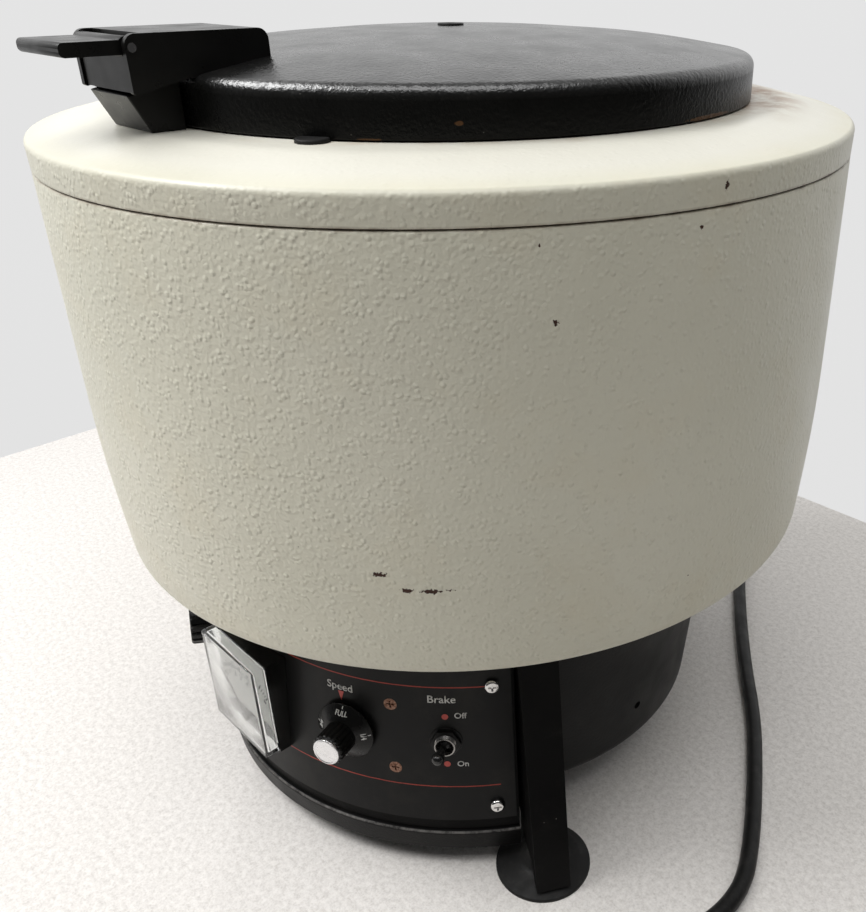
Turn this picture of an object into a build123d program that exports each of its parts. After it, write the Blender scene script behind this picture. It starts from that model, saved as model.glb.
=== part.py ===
"""Bench-top laboratory centrifuge.

Frame: +Z up, the front (meter and latch) faces -Y, the origin is on the table
under the spindle.  A bearing is an angle round the spindle, in degrees, from the
front towards +X, so bearing 90 is the right-hand side.
"""
from build123d import *
import math
import os

os.makedirs("parts", exist_ok=True)

# ---------------------------------------------------------------- driving dimensions (mm, degrees)
BOWL_RADIUS = 178.0          # outside of the bowl at its seam
BOWL_FLOOR_Z = 142.0         # underside of the bowl
BOWL_WALL = 4.0
BOWL_FLOOR = 5.0
SEAM_Z = 318.5
SEAM_GAP = 0.8
RIM_Z = 337.0                # flat top of the rim, which the lid closes over
RIM_FLAT_RADIUS = 150.0      # the rim's top slopes down outside this radius
MOUTH_RADIUS = 125.0
LINER_RADIUS = 158.0
GUARD_IN, GUARD_OUT = 160.0, 166.0

LID_RADIUS = 133.9
LID_BOTTOM_Z = 337.5
LID_SHOULDER_Z = 354.9
LID_TOP_Z = 365.8
LID_WALL = 3.0
BUMPER_RADIUS, BUMPER_HEIGHT = 6.0, 1.5
BUMPER_RING = 136.0
BUMPER_BEARINGS = (29.7, 150.3, -150.3, -29.7)

HINGE_Y, HINGE_Z = 146.0, 344.8
HINGE_PIN_RADIUS = 3.0
HINGE_BARREL_RADIUS = 5.5
HINGE_HALF_WIDTH = 25.3
RUNNING = 0.05               # radial clearance of a pin or shaft in its hole

LATCH_X = -3.5               # the latch stands a little to the left of the middle
LATCH_HALF_WIDTH = 21.5
LATCH_TOP_Z = 369.5
LATCH_PIN_Y, LATCH_PIN_Z = -151.8, 365.3
LATCH_PIN_RADIUS = 1.5
LEVER_HALF_WIDTH = 18.4
KEEPER_HALF_WIDTH = 15.5

CAN_TOP_RADIUS, CAN_BOTTOM_RADIUS = 134.0, 122.4
CAN_BOTTOM_Z = 24.0
CAN_WALL = 2.5

PANEL_BOTTOM_Z, PANEL_TOP_Z = 32.2, 141.5
PANEL_BOTTOM_RADIUS = 146.1
PANEL_TAPER = 0.0866         # radius lost for each mm of height
PANEL_LEAN = math.degrees(math.atan(PANEL_TAPER))
PANEL_THICK = 2.0
PANEL_HALF_ANGLE = 55.4
FRAME_HALF_ANGLE = 56.0
FRAME_THICK = 2.6
RAIL_Z = 24.6                # top of the base rail

SPEED_AT = (24.1, 78.4)      # bearing and height of each control
TIMER_AT = (-24.7, 79.0)
BRAKE_AT = (43.1, 78.5)
PANEL_SCREWS_AT = [(side * 51.9, z) for side in (-1, 1) for z in (40.6, 107.8)]
CHASSIS_SCREWS_AT = [(33.3, 61.2), (33.0, 96.3)]
METER_Z = 78.5
METER_HALF_WIDTH, METER_HALF_HEIGHT = 24.0, 26.0
METER_BACK_Y, METER_FRONT_Y = -148.3, -155.6
METER_CAN_RADIUS = 20.0
NEEDLE_Z = 62.0

LEG_BEARINGS = {"right": 60, "left": -60, "rear": 180}
LEG_TOP_RADIUS, LEG_BOTTOM_RADIUS = 140.0, 169.0
LEG_TOP_WIDTH, LEG_BOTTOM_WIDTH = 18.6, 16.2
LEG_BOTTOM_Z = 5.0
LEG_PLATE = 3.0
LEG_BOLT_HEIGHTS = (55.0, 120.0)
FOOT_RING, FOOT_RADIUS, FOOT_HEIGHT = 148.6, 23.0, 14.0

SHAFT_RADIUS = 6.0
SHAFT_BOTTOM_Z = 36.0
MOTOR_RADIUS = 49.0
MOTOR_BOTTOM_Z, MOTOR_TOP_Z = 46.0, 116.0
MOUNT_RING, MOUNT_RADIUS = 56.0, 8.0

TRUNNION_RING, TRUNNION_Z = 62.0, 257.0
TRUNNION_RADIUS = 3.0
SHIELD_RADIUS, SHIELD_WALL = 15.0, 1.2
SHIELD_TOP_Z, SHIELD_BOTTOM_Z = 267.0, 186.0

CORD_RADIUS = 4.2
CORD_REST_Z = CORD_RADIUS + 0.1
GLAND_BEARING, GLAND_Z = 194.0, 50.0
GLAND_END = 160.0            # distance of the gland's tip from the spindle axis
COIL_AT = (246.0, -95.0)
COIL_IN, COIL_OUT, COIL_HEIGHT = 37.2, 55.2, 17.6
LEAD_ROUTE = [
    (-38.7, 155.2, 50.0),
    (-44.5, 180.5, 45.5),
    (-38.0, 209.0, 32.0),
    (-16.5, 227.0, 15.5),
    (14.0, 229.0, 5.4),
    (45.5, 215.0, CORD_REST_Z),
    (64.5, 184.0, CORD_REST_Z),
    (92.0, 146.5, CORD_REST_Z),
    (121.0, 109.5, CORD_REST_Z),
    (150.5, 75.5, CORD_REST_Z),
    (175.0, 38.5, CORD_REST_Z),
    (194.5, 6.0, CORD_REST_Z),
    (206.5, -21.0, CORD_REST_Z),
    (208.5, -50.0, CORD_REST_Z),
    (201.0, -88.0, CORD_REST_Z),
]
TAIL_ROUTE = [
    (212.0, -129.0, 12.6),
    (226.5, -148.0, 12.0),
    (252.0, -160.0, 12.0),
    (278.0, -162.5, 12.1),
]
PLUG_LENGTH, PLUG_RADIUS = 34.0, 11.8


# ---------------------------------------------------------------- helpers
def outline(points):
    """Flat closed face through (x, y) points; a third number rounds that corner."""
    places = [(p[0], p[1]) for p in points]
    radii = [p[2] if len(p) > 2 else 0 for p in points]
    if any(radii):
        return make_face(FilletPolyline(*places, radius=radii, close=True))
    return make_face(Polyline(*places, close=True))


def turned(points, arc=360, start=0):
    """Solid of revolution of an (r, z) outline, from one bearing round by arc."""
    return Rot(Z=start - 90) * revolve(Plane.XZ * outline(points), Axis.Z, arc)


def slab(points, low, high):
    """Solid with a (y, z) outline between two x values."""
    return Pos(X=low) * extrude(Plane.YZ * outline(points), high - low)


def block(x, y, z):
    """Box between (low, high) pairs along each axis."""
    size = [high - low for low, high in (x, y, z)]
    middle = [(high + low) / 2 for low, high in (x, y, z)]
    return Pos(*middle) * Box(*size)


def polar(bearing, radius, z=0.0):
    angle = math.radians(bearing)
    return Vector(radius * math.sin(angle), -radius * math.cos(angle), z)


def rod(plane, radius, low, high):
    """Cylinder along a plane's normal, between two distances from it."""
    return plane.offset(low) * extrude(Circle(radius), high - low)


def cone(plane, low, low_radius, high, high_radius):
    length = high - low
    solid = Cone(low_radius, high_radius, length, align=(Align.CENTER, Align.CENTER, Align.MIN))
    return plane.offset(low) * solid


def panel_radius(z):
    return PANEL_BOTTOM_RADIUS - PANEL_TAPER * (z - PANEL_BOTTOM_Z)


def can_radius(z):
    slope = (CAN_TOP_RADIUS - CAN_BOTTOM_RADIUS) / (BOWL_FLOOR_Z - CAN_BOTTOM_Z)
    return CAN_BOTTOM_RADIUS + slope * (z - CAN_BOTTOM_Z)


def on_panel(bearing, z):
    """Plane on the panel's face: x along the panel, y up its slope, z outward."""
    angle, lean = math.radians(bearing), math.radians(PANEL_LEAN)
    outward = (math.sin(angle) * math.cos(lean), -math.cos(angle) * math.cos(lean), math.sin(lean))
    along = (math.cos(angle), math.sin(angle), 0)
    return Plane(origin=polar(bearing, panel_radius(z), z), x_dir=along, z_dir=outward)


def radial(bearing, z):
    """Plane through the spindle axis whose normal points outward along a bearing."""
    angle = math.radians(bearing)
    return Plane(origin=(0, 0, z), x_dir=(math.cos(angle), math.sin(angle), 0), z_dir=polar(bearing, 1))


def pan_screw(plane, head_radius, head_height, shank_radius, length):
    """Cross-head pan screw whose head sits on the plane."""
    head = fillet(rod(plane, head_radius, 0, head_height).edges().sort_by(Axis(plane.origin, plane.z_dir))[-1],
                  head_height * 0.6)
    slot_wide, slot_long = head_radius * 0.28, head_radius * 1.1
    depth = head_height * 0.55
    for turn in (0, 90):
        arm = plane * (Rot(Z=turn) * Pos(Z=head_height - depth / 2 + 0.01) * Box(slot_long, slot_wide, depth))
        head -= arm
    return head + rod(plane, shank_radius, -length, 0.01)


def flat_screw(plane, head_radius, shank_radius, length):
    """Countersunk screw, flush with the plane."""
    sink = head_radius - shank_radius
    head = cone(plane, -sink, shank_radius, 0, head_radius)
    for turn in (0, 90):
        head -= plane * (Rot(Z=turn) * Pos(Z=-0.4) * Box(head_radius * 1.2, head_radius * 0.28, 0.9))
    return head + rod(plane, shank_radius, -length, -sink + 0.01)


def solids_of(items):
    """One compound of separate solids, for pieces that share a node."""
    return Compound(children=[solid for item in items for solid in item.solids()])


def tube_along(route, radius):
    """Tube on straight runs joined by tangent arcs; prints the arcs' radii and its length."""
    points = [Vector(*p) for p in route]
    runs = [b - a for a, b in zip(points, points[1:])]
    radii = []
    for before, after in zip(runs, runs[1:]):
        half_turn = math.radians(before.get_angle(after) / 2)
        radii.append(0.45 * min(before.length, after.length) / math.tan(half_turn))
    path = FilletPolyline(*points, radius=radii) if radii else Line(*points)
    start = Plane(origin=points[0], z_dir=runs[0])
    tube = sweep(start * Circle(radius), path=path)
    expected = math.pi * radius ** 2 * path.length
    print("cord radii", [round(r) for r in radii])
    print("cord length %.0f, volume / expected %.4f" % (path.length, tube.volume / expected))
    return tube


NODES = {}


def node(name, shape):
    NODES[name] = shape


# ---------------------------------------------------------------- bowl
RING_SCREWS = [(LATCH_X - 9, -140.5), (LATCH_X + 9, -140.5)]
BRACKET_SCREWS = [(-16, 144), (16, 144)]
BRACKET_THICK = 2.0
KEEPER_FLOOR = 1.2
keeper_screw_planes = [Plane(origin=(x, y, RIM_Z + KEEPER_FLOOR)) for x, y in RING_SCREWS]
bracket_screw_planes = [Plane(origin=(x, y, RIM_Z + BRACKET_THICK)) for x, y in BRACKET_SCREWS]


def make_bowl():
    floor_top = BOWL_FLOOR_Z + BOWL_FLOOR
    inside = BOWL_RADIUS - BOWL_WALL
    shell = turned([
        (24, BOWL_FLOOR_Z), (174.0, BOWL_FLOOR_Z, 8), (178.2, 222, 1200), (BOWL_RADIUS, SEAM_Z),
        (inside, SEAM_Z), (inside, 222, 1200), (170.2, floor_top, 4), (24, floor_top)])
    for bearing in (0, 120, 240):
        shell -= rod(Plane(origin=polar(bearing, MOUNT_RING, BOWL_FLOOR_Z)), 3.0, -1, BOWL_FLOOR + 1)
    node("bowl_shell", shell)

    ring_bottom = SEAM_Z + SEAM_GAP
    ring = turned([
        (BOWL_RADIUS, ring_bottom), (178.3, 330.5, 2.5), (RIM_FLAT_RADIUS, RIM_Z, 30), (MOUTH_RADIUS, RIM_Z, 1.5),
        (MOUTH_RADIUS, 322), (128, 322), (128, RIM_Z - 4), (RIM_FLAT_RADIUS - 1, RIM_Z - 4),
        (173.5, 326.0), (173.5, ring_bottom)])
    for plane in keeper_screw_planes + bracket_screw_planes:
        ring -= rod(plane, 1.75, -12, 1)
    node("bowl_top_ring", ring)

    node("seam_gasket", turned([(173.8, SEAM_Z), (177.2, SEAM_Z), (177.2, ring_bottom), (173.8, ring_bottom)]))
    node("guard_ring", turned([
        (GUARD_IN, floor_top), (GUARD_OUT, floor_top), (GUARD_OUT, SEAM_Z), (GUARD_IN, SEAM_Z)]))
    node("chamber_liner", turned([
        (24, floor_top), (LINER_RADIUS, floor_top, 6), (LINER_RADIUS, 328), (LINER_RADIUS - 1.5, 328),
        (LINER_RADIUS - 1.5, floor_top + 1.5, 4.5), (24, floor_top + 1.5)]))
    node("spindle_boot", turned([
        (8, floor_top + 1.5), (30, floor_top + 1.5), (30, floor_top + 3.5), (16, floor_top + 5),
        (11, 168), (8, 168)]))
    bumper = Cylinder(BUMPER_RADIUS, BUMPER_HEIGHT, align=(Align.CENTER, Align.CENTER, Align.MIN))
    bumper = fillet(bumper.edges().sort_by(Axis.Z)[-1], 0.8)
    seat = rod(Plane.XY, LID_RADIUS + 0.2, LID_BOTTOM_Z - 0.1, LID_BOTTOM_Z + 5)
    node("lid_bumpers", solids_of([Pos(polar(b, BUMPER_RING, RIM_Z)) * bumper - seat for b in BUMPER_BEARINGS]))


def make_keeper():
    left, right = LATCH_X - KEEPER_HALF_WIDTH, LATCH_X + KEEPER_HALF_WIDTH
    floor = RIM_Z + KEEPER_FLOOR
    body = slab([(-134.8, RIM_Z), (-147.5, RIM_Z), (-154, 349.85), (-134.8, 353.8)], left, right)
    body -= slab([(-136.4, floor), (-147.0, floor), (-152.6, 350.3), (-136.4, 356)], left + 1.5, right - 1.5)
    body += slab([(-150.4, 343.9), (-148.2, 343.9), (-148.2, 344.9), (-151.4, 347.2)], left + 1.5, right - 1.5)
    for plane in keeper_screw_planes:
        body -= rod(plane, 1.75, -3, 1)
    node("latch_keeper", body)


def make_hinge_bracket():
    bracket = block((-31, 31), (139.2, 149), (RIM_Z, RIM_Z + BRACKET_THICK))
    ear = [(139.2, RIM_Z), (149, RIM_Z), (152.2, 341.8), (152.2, 351, 6), (139.8, 351, 6), (139.8, 341.8)]
    for low in (-31, 26):
        bracket += slab(ear, low, low + 5)
    pin_line = Plane(origin=(0, HINGE_Y, HINGE_Z), z_dir=(1, 0, 0))
    bracket -= rod(pin_line, HINGE_PIN_RADIUS, -40, 40)
    for plane in bracket_screw_planes:
        bracket -= cone(plane, -1.35, 1.75, 0.05, 3.15)
        bracket -= rod(plane, 1.75, -4, 0)
    node("hinge_bracket", bracket)
    node("hinge_pin", rod(pin_line, HINGE_PIN_RADIUS, -33, 31.2) + rod(pin_line, 4.6, 31.2, 33.4))
    screws = [pan_screw(plane, 3.0, 1.2, 1.7, 7.5) for plane in keeper_screw_planes]
    screws += [flat_screw(plane, 3.0, 1.7, 8) for plane in bracket_screw_planes]
    node("ring_screws", solids_of(screws))


# ---------------------------------------------------------------- lid
LID_OUTSIDE = [(LID_RADIUS, LID_BOTTOM_Z), (LID_RADIUS, LID_SHOULDER_Z, 4.6), (100, 360.7, 400),
               (45, 364.9, 600), (0, LID_TOP_Z)]
LID_INSIDE = [(0, LID_TOP_Z - LID_WALL), (45, 361.9, 600), (100, 357.6, 400),
              (LID_RADIUS - LID_WALL, LID_SHOULDER_Z - LID_WALL, 2), (LID_RADIUS - LID_WALL, LID_BOTTOM_Z)]
HOUSING_SCREWS = [(LATCH_X - 9, -106), (LATCH_X + 9, -106)]
ARM_SCREW_BEARINGS, ARM_SCREW_Z = (173.5, 186.5), 345.2


def lid_block():
    """The lid's outside, filled down past its rim, to trim what stands on it."""
    return turned(LID_OUTSIDE + [(0, LID_BOTTOM_Z)])


def make_lid():
    lid = turned(LID_OUTSIDE + LID_INSIDE)
    lid -= rod(Plane.XY, 5.0, 350, 380)
    for x, y in HOUSING_SCREWS:
        lid -= rod(Plane(origin=(x, y, 0)), 1.95, 340, 370)
    for bearing in ARM_SCREW_BEARINGS:
        lid -= rod(radial(bearing, ARM_SCREW_Z), 1.95, 120, 140)
    node("lid_shell", lid)
    plug = rod(Plane.XY, 4.95, LID_TOP_Z - 5, LID_TOP_Z) + rod(Plane.XY, 5.8, LID_TOP_Z, LID_TOP_Z + 0.8)
    node("lid_port_plug", plug)


def make_latch_housing():
    left, right = LATCH_X - LATCH_HALF_WIDTH, LATCH_X + LATCH_HALF_WIDTH
    side = [(-101, 354.5, 1), (-133.5, 354.5), (-154, 350.3, 1), (-154, LATCH_TOP_Z, 4), (-101, LATCH_TOP_Z, 4)]
    housing = slab(side, left, right)
    housing -= block((left + 2.4, right - 2.4), (-156, -112), (349, 367))
    housing -= block((left + 2.4, right - 2.4), (-156, -147.5), (349, 371))
    housing -= lid_block()
    pin_line = Plane(origin=(LATCH_X, LATCH_PIN_Y, LATCH_PIN_Z), z_dir=(1, 0, 0))
    housing -= rod(pin_line, LATCH_PIN_RADIUS, -25, 25)
    for x, y in HOUSING_SCREWS:
        housing -= rod(Plane(origin=(x, y, 0)), 1.95, 350, 366)
    node("latch_housing", housing)
    node("latch_pin", rod(pin_line, LATCH_PIN_RADIUS, -LATCH_HALF_WIDTH - 0.5, LATCH_HALF_WIDTH + 0.5))

    left, right = LATCH_X - LEVER_HALF_WIDTH, LATCH_X + LEVER_HALF_WIDTH
    lever = slab([(-149.5, 367.6), (-174, 367.6, 1.8), (-174, 363.0, 1.8), (-149.5, 363.0)], left, right)
    lever += slab([(-150.6, 364), (-153.2, 364), (-153.2, 351.0), (-151.2, 351.6), (-150.6, 352.6)], left + 0.3, right - 0.3)
    lever += slab([(-153.0, 352.6), (-153.0, 350.9), (-146.0, 347.4), (-146.0, 341.9), (-147.6, 341.5),
                   (-147.6, 340.6), (-146.4, 339.6), (-144.0, 339.6), (-144.0, 349.2)], LATCH_X - 13.2, LATCH_X + 13.2)
    lever += rod(pin_line, 3.4, -LEVER_HALF_WIDTH, LEVER_HALF_WIDTH)
    lever -= rod(pin_line, LATCH_PIN_RADIUS + RUNNING, -25, 25)
    node("latch_lever", lever)


def make_hinge_arm():
    pin_line = Plane(origin=(0, HINGE_Y, HINGE_Z), z_dir=(1, 0, 0))
    arm = block((-HINGE_HALF_WIDTH, HINGE_HALF_WIDTH), (128, HINGE_Y), (339.6, 350.2))
    arm -= turned([(0, 330), (LID_RADIUS, 330), (LID_RADIUS, 360), (0, 360)])
    arm += rod(pin_line, HINGE_BARREL_RADIUS, -HINGE_HALF_WIDTH, HINGE_HALF_WIDTH)
    arm -= rod(pin_line, HINGE_PIN_RADIUS + RUNNING, -40, 40)
    screws = []
    for bearing in ARM_SCREW_BEARINGS:
        arm -= rod(radial(bearing, ARM_SCREW_Z), 1.95, 120, 139.5)
        inward = Plane(origin=polar(bearing, LID_RADIUS - LID_WALL - 0.1, ARM_SCREW_Z), z_dir=-polar(bearing, 1))
        screws.append(pan_screw(inward, 3.4, 2.0, 1.85, 8.5))
    node("lid_hinge_arm", arm)
    for x, y in HOUSING_SCREWS:
        screws.append(pan_screw(Plane(origin=(x, y, 355.6), z_dir=(0, 0, -1)), 3.4, 2.0, 1.85, 9))
    node("lid_screws", solids_of(screws))


# ---------------------------------------------------------------- base and panel
def make_base():
    can = turned([
        (0, CAN_BOTTOM_Z), (CAN_BOTTOM_RADIUS, CAN_BOTTOM_Z, 7), (CAN_TOP_RADIUS, BOWL_FLOOR_Z),
        (CAN_TOP_RADIUS - CAN_WALL, BOWL_FLOOR_Z),
        (CAN_BOTTOM_RADIUS - CAN_WALL, CAN_BOTTOM_Z + CAN_WALL, 5), (0, CAN_BOTTOM_Z + CAN_WALL)])
    window = 2 * (FRAME_HALF_ANGLE + 0.5)
    can -= turned([(105, 32), (145, 32), (145, 150), (105, 150)], window, -window / 2)
    can -= rod(radial(GLAND_BEARING, GLAND_Z), 8.05, 110, 140)
    for bearing in LEG_BEARINGS.values():
        for z in LEG_BOLT_HEIGHTS:
            can -= rod(radial(bearing, z), 2.55, 110, 140)
    can -= rod(radial(89.4, 50.4), 2.2, 110, 140)
    node("base_can", can)

    arc = 2 * FRAME_HALF_ANGLE
    rail_bottom, shelf = 12.0, 3.4
    node("base_rail", turned([
        (124.5, RAIL_Z - shelf), (143.6, RAIL_Z - shelf), (142.8, rail_bottom), (145.6, rail_bottom, 1),
        (147.0, RAIL_Z, 1.4), (124.5, RAIL_Z)], arc, -FRAME_HALF_ANGLE))

    outside, inside = PANEL_THICK + 0.05, PANEL_THICK + 0.05 + FRAME_THICK
    frame = turned([
        (panel_radius(RAIL_Z) - inside, RAIL_Z), (panel_radius(RAIL_Z) - outside, RAIL_Z),
        (panel_radius(PANEL_TOP_Z) - outside, PANEL_TOP_Z),
        (panel_radius(PANEL_TOP_Z) - inside, PANEL_TOP_Z)], arc, -FRAME_HALF_ANGLE)
    frame -= turned([(120, 44), (150, 44), (150, 128), (120, 128)], 98, -49)
    for bearing, z in PANEL_SCREWS_AT:
        frame -= rod(on_panel(bearing, z), 1.75, -10, 2)
    node("panel_frame", frame)


def make_panel():
    arc = 2 * PANEL_HALF_ANGLE
    low, high = panel_radius(PANEL_BOTTOM_Z), panel_radius(PANEL_TOP_Z)
    panel = turned([
        (low - PANEL_THICK, PANEL_BOTTOM_Z), (low, PANEL_BOTTOM_Z), (high, PANEL_TOP_Z),
        (high - PANEL_THICK, PANEL_TOP_Z)], arc, -PANEL_HALF_ANGLE)
    for place, hole in ((SPEED_AT, 5.3), (TIMER_AT, 5.3), (BRAKE_AT, 5.2)):
        panel -= rod(on_panel(*place), hole, -8, 8)
    panel -= rod(radial(0, METER_Z), METER_CAN_RADIUS + 0.4, 120, 160)
    for bearing, z in PANEL_SCREWS_AT:
        panel -= rod(on_panel(bearing, z), 1.75, -8, 8)
    for bearing, z in CHASSIS_SCREWS_AT:
        panel -= cone(on_panel(bearing, z), -1.55, 1.6, 0.05, 3.2)
        panel -= rod(on_panel(bearing, z), 1.6, -8, 0)
    node("control_panel", panel)
    node("panel_screws", solids_of([
        pan_screw(on_panel(*place).offset(0.05), 3.4, 2.2, 1.7, 6.5) for place in PANEL_SCREWS_AT]))
    node("chassis_screws", solids_of([
        flat_screw(on_panel(*place), 3.05, 1.55, 7.5) for place in CHASSIS_SCREWS_AT]))


def make_meter():
    cone_block = turned([(0, 20), (panel_radius(20) + 0.1, 20), (panel_radius(150) + 0.1, 150), (0, 150)])
    low, high = METER_Z - METER_HALF_HEIGHT, METER_Z + METER_HALF_HEIGHT
    wedge = block((-METER_HALF_WIDTH, METER_HALF_WIDTH), (METER_BACK_Y, -125), (low, high)) - cone_block
    can = rod(radial(0, METER_Z), METER_CAN_RADIUS, 108, -METER_BACK_Y)
    node("meter_case", wedge + can)
    half, edge = METER_HALF_WIDTH - 0.4, 1.6
    outside = block((-half, half), (METER_FRONT_Y, METER_BACK_Y), (low + 0.4, high - 0.4))
    outside = fillet(outside.edges().group_by(Axis.Y)[0], 1.0)
    hollow = block((edge - half, half - edge), (METER_FRONT_Y + edge, METER_BACK_Y + 1),
                   (low + 0.4 + edge, high - 0.4 - edge))
    node("meter_cover", outside - hollow)
    node("meter_dial", block((-20.5, 20.5), (METER_BACK_Y - 0.8, METER_BACK_Y), (low + 3, high - 3)))
    hub = rod(Plane(origin=(0, -149.7, NEEDLE_Z), z_dir=(0, -1, 0)), 2.4, 0, 1.6)
    blade = slab([(-150.2, NEEDLE_Z), (-150.8, NEEDLE_Z), (-150.8, NEEDLE_Z + 27), (-150.2, NEEDLE_Z + 27)],
                 -0.5, 0.5)
    blade = Pos(0, 0, NEEDLE_Z) * Rot(Y=-42) * Pos(0, 0, -NEEDLE_Z) * blade
    node("meter_needle", hub + blade)


def control_body(plane, shape):
    """Bushing with a front nut, on a rear plate, with the control behind the plate."""
    body = rod(plane, 5.0, -8.3, 3.0) + plane * (Pos(Z=0.3) * extrude(RegularPolygon(6.6, 6), 1.9))
    plate = plane * (Pos(Z=-6.8) * Box(56, 54, 3))
    return body + plate + shape - rod(plane, 3.0 + RUNNING, -24, 4)


def fluted(plane, radius, low, high, count, groove):
    grip = rod(plane, radius, low, high)
    for step in range(count):
        angle = 2 * math.pi * step / count
        at = plane * Pos(radius * math.cos(angle), radius * math.sin(angle), 0)
        grip -= rod(Plane(at), groove, low - 1, high + 1)
    return grip


def make_controls():
    speed = on_panel(*SPEED_AT)
    body = control_body(speed, rod(speed, 23.0, -40, -8.2))
    for bearing, z in CHASSIS_SCREWS_AT:
        body -= rod(on_panel(bearing, z), 1.6, -9, 0)
    node("speed_control", body)
    knob = rod(speed, 14.5, 1.2, 2.6) + cone(speed, 2.5, 14.3, 6.4, 8.6) + fluted(speed, 7.6, 6.3, 17.3, 20, 0.55)
    knob -= rod(speed, 7.8, 0, 3.2)
    knob += rod(speed, 3.0, -20, 4.0)
    node("speed_knob", knob)
    cap = rod(speed, 6.5, 17.3, 18.7)
    node("speed_knob_cap", fillet(cap.edges().group_by(Axis(speed.origin, speed.z_dir))[-1], 0.4))

    timer = on_panel(*TIMER_AT)
    node("timer_unit", control_body(timer, timer * (Pos(Z=-24) * Box(46, 46, 32))))
    knob = fluted(timer, 13.0, 1.2, 16.6, 24, 0.9)
    knob -= rod(timer, 7.8, 0, 3.2)
    knob += rod(timer, 3.0, -20, 4.0)
    node("timer_knob", knob)

    brake = on_panel(*BRAKE_AT)
    switch = rod(brake, 4.9, -6, 5.0) + brake * (Pos(Z=0.3) * extrude(RegularPolygon(7.2, 6), 2.0))
    switch += brake * (Pos(Z=-16) * Box(14, 28, 20))
    switch -= rod(brake, 3.6, -3, 6)
    node("brake_switch", switch)
    pivot = Plane(brake * Pos(Z=1.5) * Rot(X=8) * Rot(Y=-14))      # the bat leans down, towards On, and to the left
    bat = cone(pivot, 0, 1.5, 9.0, 2.6) + pivot * (Pos(Z=9.6) * Sphere(2.9)) + pivot * Sphere(3.0)
    node("brake_lever", bat)


# ---------------------------------------------------------------- legs and feet
def make_leg(name, bearing):
    top, bottom = LEG_TOP_RADIUS, LEG_BOTTOM_RADIUS
    faces = []
    for z, outer, width in ((BOWL_FLOOR_Z, top, LEG_TOP_WIDTH), (LEG_BOTTOM_Z, bottom, LEG_BOTTOM_WIDTH)):
        faces.append(Pos(0, -(outer - LEG_PLATE / 2), z) * Rectangle(width, LEG_PLATE))
    leg = loft(faces)
    flange = [(-134.9, BOWL_FLOOR_Z), (-137.6, BOWL_FLOOR_Z), (-166.6, LEG_BOTTOM_Z + 0.4), (-165, LEG_BOTTOM_Z + 0.4),
              (-163, 7.2), (-158, 14.2), (-137, 14.2), (-137, 24), (-125.4, 30)]
    for low in (-8.0, 5.6):
        leg += slab(flange, low, low + 2.4)
    leg += block((-6, 6), (-153, -137), (FOOT_HEIGHT + 0.1, FOOT_HEIGHT + 4))
    for z in LEG_BOLT_HEIGHTS:
        leg += rod(radial(0, z), 4.5, can_radius(z) + 1, 141 if z > 100 else 156)
        leg -= rod(radial(0, z), 2.55, can_radius(z) - 5, can_radius(z) + 9)
    leg -= turned([(0, CAN_BOTTOM_Z), (CAN_BOTTOM_RADIUS + 0.15, CAN_BOTTOM_Z),
                   (CAN_TOP_RADIUS + 0.15, BOWL_FLOOR_Z), (0, BOWL_FLOOR_Z)])
    leg -= rod(Plane(origin=(0, -FOOT_RING, 0)), 3.05, 12, 20)
    node("leg_" + name, Rot(Z=bearing) * leg)


def make_foot():
    cup = revolve(Plane.XZ * outline([
        (0, 2.5), (12, 1.6), (20.5, 0), (FOOT_RADIUS, 0), (FOOT_RADIUS, 1.6, 0.7), (18, 4.0, 8),
        (11.5, 6.6, 5), (8, FOOT_HEIGHT, 1), (3, FOOT_HEIGHT), (3, FOOT_HEIGHT + 7), (0, FOOT_HEIGHT + 7)]), Axis.Z)
    return Pos(0, -FOOT_RING, 0) * cup


def make_legs():
    feet, bolts = [], []
    for name, bearing in LEG_BEARINGS.items():
        make_leg(name, bearing)
        feet.append(Rot(Z=bearing) * make_foot())
        for z in LEG_BOLT_HEIGHTS:
            wall = can_radius(z) - CAN_WALL - 0.9
            line = radial(bearing, z)
            bolts.append(rod(line, 5.0, wall - 3.5, wall) + rod(line, 2.5, wall - 0.1, wall + 9))
    node("feet", solids_of(feet))
    node("leg_bolts", solids_of(bolts))


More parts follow.
